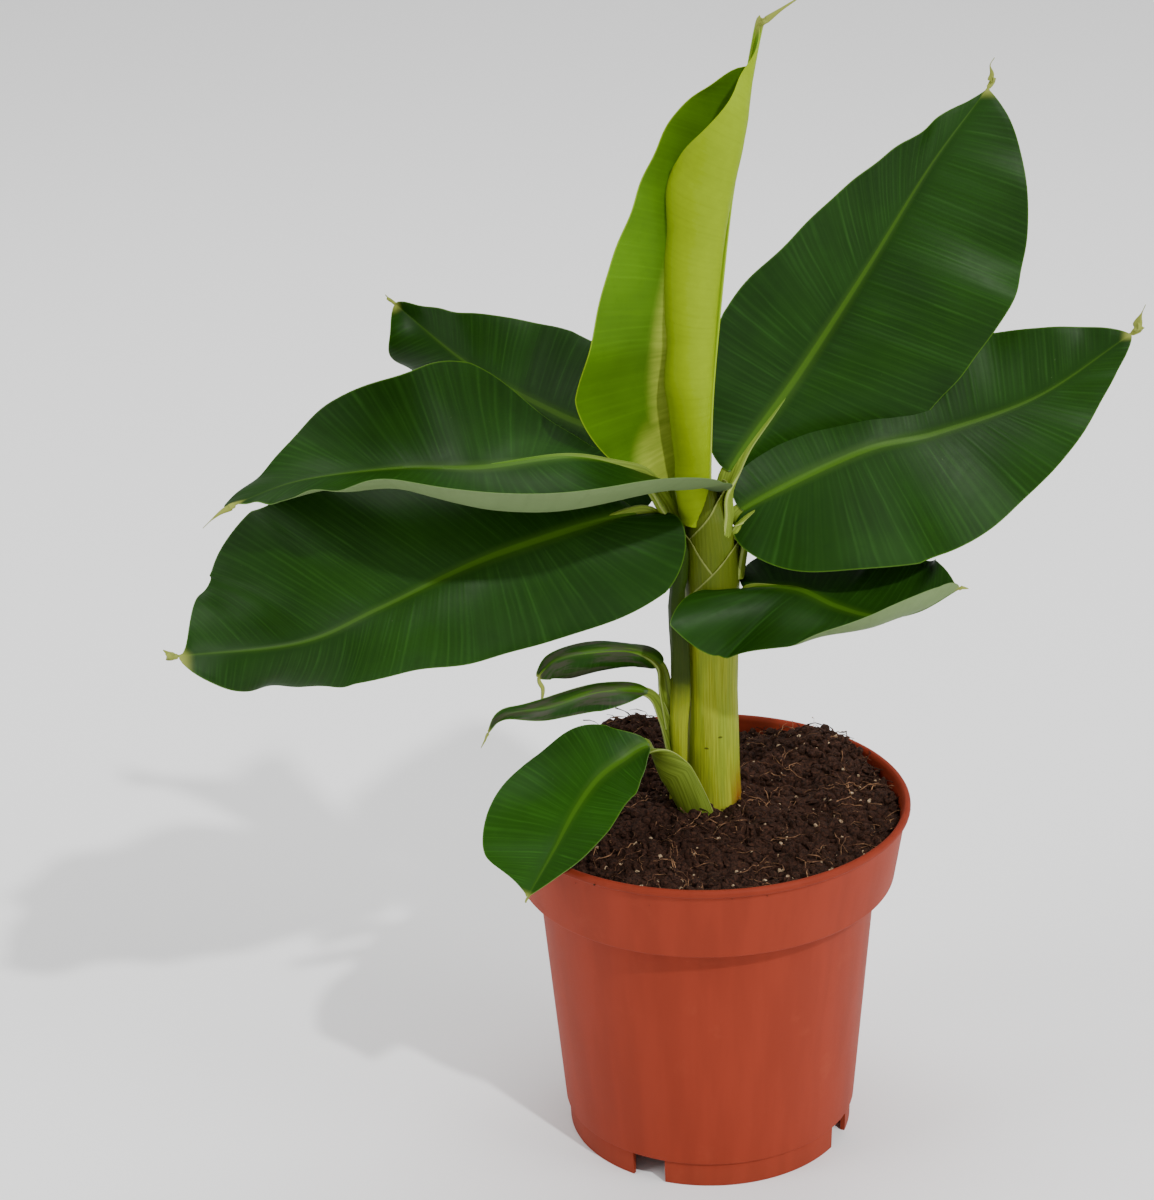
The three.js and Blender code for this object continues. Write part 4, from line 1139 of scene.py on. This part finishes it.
def make_pot(settings, material):
    """Turned shell of the pot, with the openings cut out of it."""
    section = rounded(pot_section(settings.lip_height / MM))
    turn = turns(settings.sides)
    rings = np.stack([section[:, :1] * np.cos(turn), section[:, :1] * np.sin(turn),
                      section[:, 1:] + 0 * turn], -1)
    rows, columns = rings.shape[:2]
    faces = grid_faces(rows, columns, around=True)
    wrap = np.arange(columns)
    last = (rows - 1) * columns
    closing = np.stack([last + wrap, last + (wrap + 1) % columns, (wrap + 1) % columns, wrap], -1)
    shell = Shell()
    shell.add(rings, np.concatenate([faces, closing]))
    sharp = 30
    pot = shell.finish("pot_shell", material, sharp)
    cutter = foot_cutter(settings).finish("pot_cutter", material)
    cut = pot.modifiers.new("openings", "BOOLEAN")
    cut.operation = "DIFFERENCE"
    cut.solver = "EXACT"
    cut.object = cutter
    keep_result(pot)
    bpy.data.objects.remove(cutter)
    smooth(pot.data, sharp)
    settle(pot, "pot_plastic", "pot")


def keep_result(piece):
    """The piece's mesh becomes what its modifiers make of it."""
    bpy.context.view_layer.update()
    depsgraph = bpy.context.evaluated_depsgraph_get()
    result = bpy.data.meshes.new_from_object(piece.evaluated_get(depsgraph))
    piece.modifiers.clear()
    piece.data = result


# -------------------------------------------------------------------- soil ---

# Mounds of the soil: x, y, height and spread.
MOUNDS = [(-24, 42, 14, 13), (42, 38, 9, 12), (-20, -16, 3, 12), (3, -5, 4, 14)]
# Clods and grains: size and relief, from large to small.
CLODS = [(13.0, 2.6), (5.5, 1.9), (2.4, 1.0), (1.1, 0.45)]
SOIL_REACH = 65.6
# Radius and level of the soil's wall, downward inside the pot.
SOIL_WALL = [(65.2, 112.0), (63.2, 99.4)]


def soil_height(x, y, level):
    """Height of the soil, with its mounds and clods."""
    edge = math.hypot(x, y) / RIM_RADIUS
    z = level + 2.5 * (1 - edge)
    for mound_x, mound_y, height, spread in MOUNDS:
        distance = (x - mound_x) ** 2 + (y - mound_y) ** 2
        z += height * math.exp(-distance / (2 * spread * spread))
    for size, relief in CLODS:
        z += relief * noise.noise(Vector((x / size, y / size, size)))
    return z


def soil_body(settings, rings=110, spokes=250):
    """Soil in the pot: a rough top, a wall inside the band and a flat underside."""
    level = settings.level / MM
    spokes_out = [(math.cos(a), math.sin(a)) for a in turns(spokes)]
    rows = []
    for radius in np.linspace(0.4, SOIL_REACH, rings):
        flat = [(radius * x, radius * y) for x, y in spokes_out]
        rows.append([[x, y, soil_height(x, y, level)] for x, y in flat])
    for radius, z in SOIL_WALL:
        rows.append([[radius * x, radius * y, z] for x, y in spokes_out])
    grid = np.array(rows)[::-1]
    shell = Shell()
    shell.add_tube(grid, None, None)
    return shell


class Recipe:
    """A Geometry Nodes tree with named inputs; one method adds any node.

    rough_size and rough_reach are how wide and how far its things are bent, in
    millimetres; each recipe sets its own.
    """

    rough_size = 2.0
    rough_reach = 1.0

    def __init__(self, name, numbers):
        self.tree = bpy.data.node_groups.new(name, "GeometryNodeTree")
        self.tree.interface.new_socket("Geometry", in_out="INPUT", socket_type="NodeSocketGeometry")
        for label, kind in numbers.items():
            self.tree.interface.new_socket(label, in_out="INPUT", socket_type="NodeSocket" + kind)
        self.tree.interface.new_socket("Geometry", in_out="OUTPUT", socket_type="NodeSocketGeometry")
        self.start = self.tree.nodes.new("NodeGroupInput")
        self.end = self.tree.nodes.new("NodeGroupOutput")

    def given(self, label):
        return self.start.outputs[label]

    def node(self, kind, inputs=None, output=0, **settings):
        made = self.tree.nodes.new(kind)
        for key, setting in settings.items():
            setattr(made, key, setting)
        for key, value in (inputs or {}).items():
            if isinstance(value, bpy.types.NodeSocket):
                self.tree.links.new(value, made.inputs[key])
            else:
                made.inputs[key].default_value = value
        return made.outputs[output]

    def maths(self, operation, *operands):
        return self.node("ShaderNodeMath", dict(enumerate(operands)), operation=operation)

    def random(self, low, high, seed, vector=False):
        """A random number or vector for each point."""
        kind = "FLOAT_VECTOR" if vector else "FLOAT"
        first = 0 if vector else 2
        return self.node("FunctionNodeRandomValue", {first: low, first + 1: high, "Seed": seed},
                         output=0 if vector else 1, data_type=kind)

    def scatter(self, thing, density, turn, size, material):
        """The thing on the given surface, at random places, turns and sizes."""
        seed = self.given("Seed")
        spots = self.node("GeometryNodeDistributePointsOnFaces",
                          {"Mesh": self.given("Geometry"), "Density": density, "Seed": seed})
        placed = self.node("GeometryNodeInstanceOnPoints",
                           {"Points": spots, "Instance": thing, "Rotation": turn, "Scale": size})
        real = self.node("GeometryNodeRealizeInstances", {"Geometry": placed})
        rough = self.node("ShaderNodeTexNoise", {"Scale": 1 / (self.rough_size * MM), "Detail": 2.0},
                          output="Color")
        centred = self.node("ShaderNodeVectorMath", {0: rough, 1: (0.5, 0.5, 0.5)},
                            operation="SUBTRACT")
        offset = self.node("ShaderNodeVectorMath", {0: centred, "Scale": self.rough_reach * MM},
                           operation="SCALE")
        bent = self.node("GeometryNodeSetPosition", {"Geometry": real, "Offset": offset})
        painted = self.node("GeometryNodeSetMaterial", {"Geometry": bent, "Material": material})
        self.tree.links.new(painted, self.end.inputs["Geometry"])

    def make(self, name, ground, values, material):
        """New piece: what the recipe grows on the ground's mesh."""
        piece = put(name, ground.copy())
        grow = piece.modifiers.new("grow", "NODES")
        grow.node_group = self.tree
        for item in self.tree.interface.items_tree:
            if item.in_out == "INPUT" and item.name in values:
                grow[item.identifier] = values[item.name]
        keep_result(piece)
        coat(piece.data, material)
        return piece


def crumb_recipe(material):
    """Rough crumbs of peat."""
    recipe = Recipe("soil_crumbs", {"Density": "Float", "Size": "Float", "Seed": "Int"})
    recipe.rough_size, recipe.rough_reach = 1.3, 1.3
    ball = recipe.node("GeometryNodeMeshIcoSphere", {"Radius": 1.0, "Subdivisions": 2})
    spread = recipe.random((0.25, 0.25, 0.2), (1.0, 1.0, 0.7), 3, vector=True)
    size = recipe.node("ShaderNodeVectorMath", {0: spread, "Scale": recipe.given("Size")},
                       operation="SCALE")
    turn = recipe.random((-3.1, -3.1, -3.1), (3.1, 3.1, 3.1), 5, vector=True)
    recipe.scatter(ball, recipe.given("Density"), turn, size, material)
    return recipe


def fibre_recipe(material, thickness):
    """Bent threads: roots and coarse peat fibres."""
    recipe = Recipe("soil_fibres", {"Density": "Float", "Length": "Float", "Seed": "Int"})
    recipe.rough_size, recipe.rough_reach = 3.2, 4.2
    line = recipe.node("GeometryNodeCurveQuadraticBezier",
                       {"Resolution": 9, "Start": (-0.5, 0, 0), "Middle": (0, 0.25, 0.22),
                        "End": (0.5, 0, 0.05)})
    ring = recipe.node("GeometryNodeCurvePrimitiveCircle", {"Resolution": 4, "Radius": thickness})
    thread = recipe.node("GeometryNodeCurveToMesh", {0: line, "Profile Curve": ring,
                                                     "Fill Caps": True})
    reach = recipe.random(0.25, 1.0, 3)
    size = recipe.maths("MULTIPLY", reach, recipe.given("Length"))
    turn = recipe.random((-0.5, -0.5, -3.1), (0.5, 0.5, 3.1), 5, vector=True)
    recipe.scatter(thread, recipe.given("Density"), turn, size, material)
    return recipe


def make_soil(settings):
    """The soil's body, and the litter that grows on a coarser copy of its top."""
    dark = tuple(settings.colour)
    peat = soil_finish("potting_soil", scaled(dark, 0.3),
                       scaled(dark, 2.1), 0.9)
    root = soil_finish("dry_fibre", shade(72, 44, 30), shade(172, 128, 92), 5.0)
    pale = soil_finish("pale_flake", shade(150, 120, 92), shade(206, 184, 150), 1.4)
    body = soil_body(settings).finish("soil_surface", peat, sharp=180)
    settle(body, "potting_soil", "soil")
    shell = Shell()
    spokes = 90
    rows = soil_body(settings, rings=40, spokes=spokes).points[0].reshape(-1, spokes, 3)
    top = rows[len(SOIL_WALL):]
    shell.add(top, grid_faces(len(top), spokes, around=True))
    ground = shell.finish("soil_top", peat)
    seed = settings.seed
    jobs = [
        ("soil_crumbs", crumb_recipe(peat), peat,
         {"Density": settings.crumbs, "Size": 2.6 * MM, "Seed": seed}),
        ("soil_dark_fibres", fibre_recipe(peat, 0.012), peat,
         {"Density": settings.fibres * 1.2, "Length": 15 * MM, "Seed": seed + 1}),
        ("soil_fibres", fibre_recipe(root, 0.009), root,
         {"Density": settings.fibres * 0.8, "Length": 15 * MM, "Seed": seed + 2}),
        ("soil_flakes", crumb_recipe(pale), pale,
         {"Density": settings.flakes, "Size": 1.1 * MM, "Seed": seed + 3}),
    ]
    for name, recipe, material, values in jobs:
        piece = recipe.make(name, ground.data, values, material)
        settle(piece, "potting_soil")
    bpy.data.objects.remove(ground)


# ------------------------------------------------------------------- stage ---

TOWARD_KEY_LIGHT = (0.38, -0.59, 0.71)
KEY_LIGHT_SPREAD = 2.2
LIGHTS_AIM = (0, 0, 0.2)
# Soft lights: name, place and size in metres, and power in watts.
SOFTBOXES = [
    ("right_softbox", (1.5, -0.7, 1.0), (0.8, 1.4), 16),
    ("left_softbox", (-1.5, -0.6, 1.2), (0.8, 1.4), 14),
    ("top_softbox", (0.0, 0.5, 2.0), (1.4, 1.0), 22),
]

CAMERA_EYE = (-41.77, -864.78, 546.23)
CAMERA_TILT = 21.93
CAMERA_ROLL = -1.88
CAMERA_LENS = 84


def add_area_light(name, place, size, power):
    lamp = bpy.data.lights.new(name, "AREA")
    lamp.shape = "RECTANGLE"
    lamp.size, lamp.size_y = size
    lamp.energy = power
    holder = put(name, lamp)
    holder.location = place
    holder.rotation_euler = (Vector(LIGHTS_AIM) - Vector(place)).to_track_quat("-Z", "Y").to_euler()


def make_stage(settings):
    reach = settings.floor_size / 2
    mesh = bpy.data.meshes.new("floor")
    mesh.from_pydata([(-reach, -reach, 0), (reach, -reach, 0), (reach, reach, 0), (-reach, reach, 0)],
                     [], [(0, 1, 2, 3)])
    mesh.materials.append(floor_finish(tuple(settings.floor_colour)))
    floor = put("floor", mesh)
    world = bpy.data.worlds.new("room")
    world.use_nodes = True
    world.node_tree.nodes["Background"].inputs["Color"].default_value = (1, 1, 1, 1)
    world.node_tree.nodes["Background"].inputs["Strength"].default_value = settings.sky
    bpy.context.scene.world = world
    sun = bpy.data.lights.new("key_light", "SUN")
    sun.energy = settings.sun
    sun.angle = math.radians(KEY_LIGHT_SPREAD)
    holder = put("key_light", sun)
    holder.rotation_euler = Vector(TOWARD_KEY_LIGHT).to_track_quat("Z", "Y").to_euler()
    for softbox in SOFTBOXES:
        add_area_light(*softbox)


def make_camera():
    """Camera in front of the plant and above it, looking down and slightly rolled."""
    tilt, roll = math.radians(CAMERA_TILT), math.radians(CAMERA_ROLL)
    level = Vector((1, 0, 0))
    upward = Vector((0, math.sin(tilt), math.cos(tilt)))
    right = level * math.cos(roll) + upward * math.sin(roll)
    up = upward * math.cos(roll) - level * math.sin(roll)
    back = right.cross(up)
    lens = bpy.data.cameras.new("camera")
    lens.sensor_width = 36
    lens.lens = CAMERA_LENS
    lens.clip_start, lens.clip_end = 0.05, 60
    camera = put("camera", lens)
    turn = Matrix((right, up, back)).transposed().to_4x4()
    camera.matrix_world = Matrix.Translation(Vector(to_frame(CAMERA_EYE))) @ turn
    bpy.context.scene.camera = camera


# --------------------------------------------------------------- operators ---

class PlantOperator:
    """What the operators share: each adds its pieces from the scene's settings."""

    def execute(self, context):
        self.add(context.scene)
        return {"FINISHED"}


class PLANT_OT_stage(PlantOperator, bpy.types.Operator):
    """Add the floor, the lights and the camera"""
    bl_idname = "potted_plant.stage"
    bl_label = "Stage"

    def add(self, scene):
        make_stage(scene.plant_stage)
        make_camera()


class PLANT_OT_pot(PlantOperator, bpy.types.Operator):
    """Add the nursery pot"""
    bl_idname = "potted_plant.pot"
    bl_label = "Pot"

    def add(self, scene):
        settings = scene.plant_pot
        make_pot(settings, pot_finish(settings))


class PLANT_OT_soil(PlantOperator, bpy.types.Operator):
    """Add the soil with its crumbs, fibres and flakes"""
    bl_idname = "potted_plant.soil"
    bl_label = "Soil"

    def add(self, scene):
        make_soil(scene.plant_soil)


class PLANT_OT_stems(PlantOperator, bpy.types.Operator):
    """Add the main stem's sheaths and the side stem"""
    bl_idname = "potted_plant.stems"
    bl_label = "Stems"

    def add(self, scene):
        settings = scene.plant_stem
        make_stems(settings, stem_finish(settings))


class PLANT_OT_grown_leaves(PlantOperator, bpy.types.Operator):
    """Add the six grown leaves"""
    bl_idname = "potted_plant.grown_leaves"
    bl_label = "Grown leaves"

    def add(self, scene):
        settings = scene.plant_leaf
        material = leaf_finish("grown_leaf", tuple(settings.upper), tuple(settings.under),
                               tuple(settings.rib), tuple(settings.stalk),
                               settings.vein_spacing / MM)
        for seed, (name, leaf) in enumerate(GROWN_LEAVES.items()):
            make_leaf(name, leaf, settings, material, seed)


class PLANT_OT_small_leaves(PlantOperator, bpy.types.Operator):
    """Add the three small leaves low on the plant"""
    bl_idname = "potted_plant.small_leaves"
    bl_label = "Small leaves"

    def add(self, scene):
        settings = scene.plant_leaf
        colours = (tuple(settings.under), tuple(settings.rib),
                   scaled(settings.stalk, 0.75))
        veins = settings.vein_spacing / MM * 0.7
        dusky = leaf_finish("dusky_leaf", tuple(settings.upper), *colours, veins, dusk=0.6)
        plain = leaf_finish("small_leaf", scaled(settings.upper, 1.6), *colours,
                            veins)
        for seed, (name, leaf) in enumerate(SMALL_LEAVES.items()):
            material = plain if name == "leaf_small_lower" else dusky
            make_leaf(name, leaf, settings, material, seed + 20, stations=110, columns=14)


class PLANT_OT_spear_leaf(PlantOperator, bpy.types.Operator):
    """Add the young leaf that is still half rolled"""
    bl_idname = "potted_plant.spear_leaf"
    bl_label = "Unrolling leaf"

    def add(self, scene):
        settings = scene.plant_leaf
        material = leaf_finish("young_leaf", tuple(settings.young_upper),
                               tuple(settings.young_under), shade(132, 158, 30),
                               shade(176, 190, 70), settings.vein_spacing / MM,
                               streaks=0.14, glossy=True)
        for name, leaf in SPEAR_LEAF.items():
            make_leaf(name, leaf, settings, material, 40, "young_leaf", columns=40)


class PLANT_PT_panel(bpy.types.Panel):
    """The plant's pieces and their settings"""
    bl_idname = "PLANT_PT_panel"
    bl_label = "Potted banana plant"
    bl_space_type = "VIEW_3D"
    bl_region_type = "UI"
    bl_category = "Banana plant"

    def draw(self, context):
        for operator in OPERATORS:
            self.layout.operator(operator.bl_idname)
        for group in SETTINGS:
            box = self.layout.box()
            for name in SETTINGS[group].__annotations__:
                box.prop(getattr(context.scene, group), name)


OPERATORS = [PLANT_OT_stage, PLANT_OT_pot, PLANT_OT_soil, PLANT_OT_stems,
             PLANT_OT_grown_leaves, PLANT_OT_small_leaves, PLANT_OT_spear_leaf]
SETTINGS = {
    "plant_stage": StageSettings,
    "plant_pot": PotSettings,
    "plant_soil": SoilSettings,
    "plant_stem": StemSettings,
    "plant_leaf": LeafSettings,
}


def register():
    for group in SETTINGS.values():
        bpy.utils.register_class(group)
    for name, group in SETTINGS.items():
        setattr(bpy.types.Scene, name, PointerProperty(type=group))
    for operator in OPERATORS:
        bpy.utils.register_class(operator)
    bpy.utils.register_class(PLANT_PT_panel)


def unregister():
    bpy.utils.unregister_class(PLANT_PT_panel)
    for operator in reversed(OPERATORS):
        bpy.utils.unregister_class(operator)
    for name, group in reversed(SETTINGS.items()):
        delattr(bpy.types.Scene, name)
        bpy.utils.unregister_class(group)


def write_sizes():
    """Bring the scene's evaluated data up to date."""
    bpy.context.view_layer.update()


def main():
    register()
    for operator in OPERATORS:
        package, name = operator.bl_idname.split(".")
        getattr(getattr(bpy.ops, package), name)()
    write_sizes()


if __name__ == "__main__":
    main()
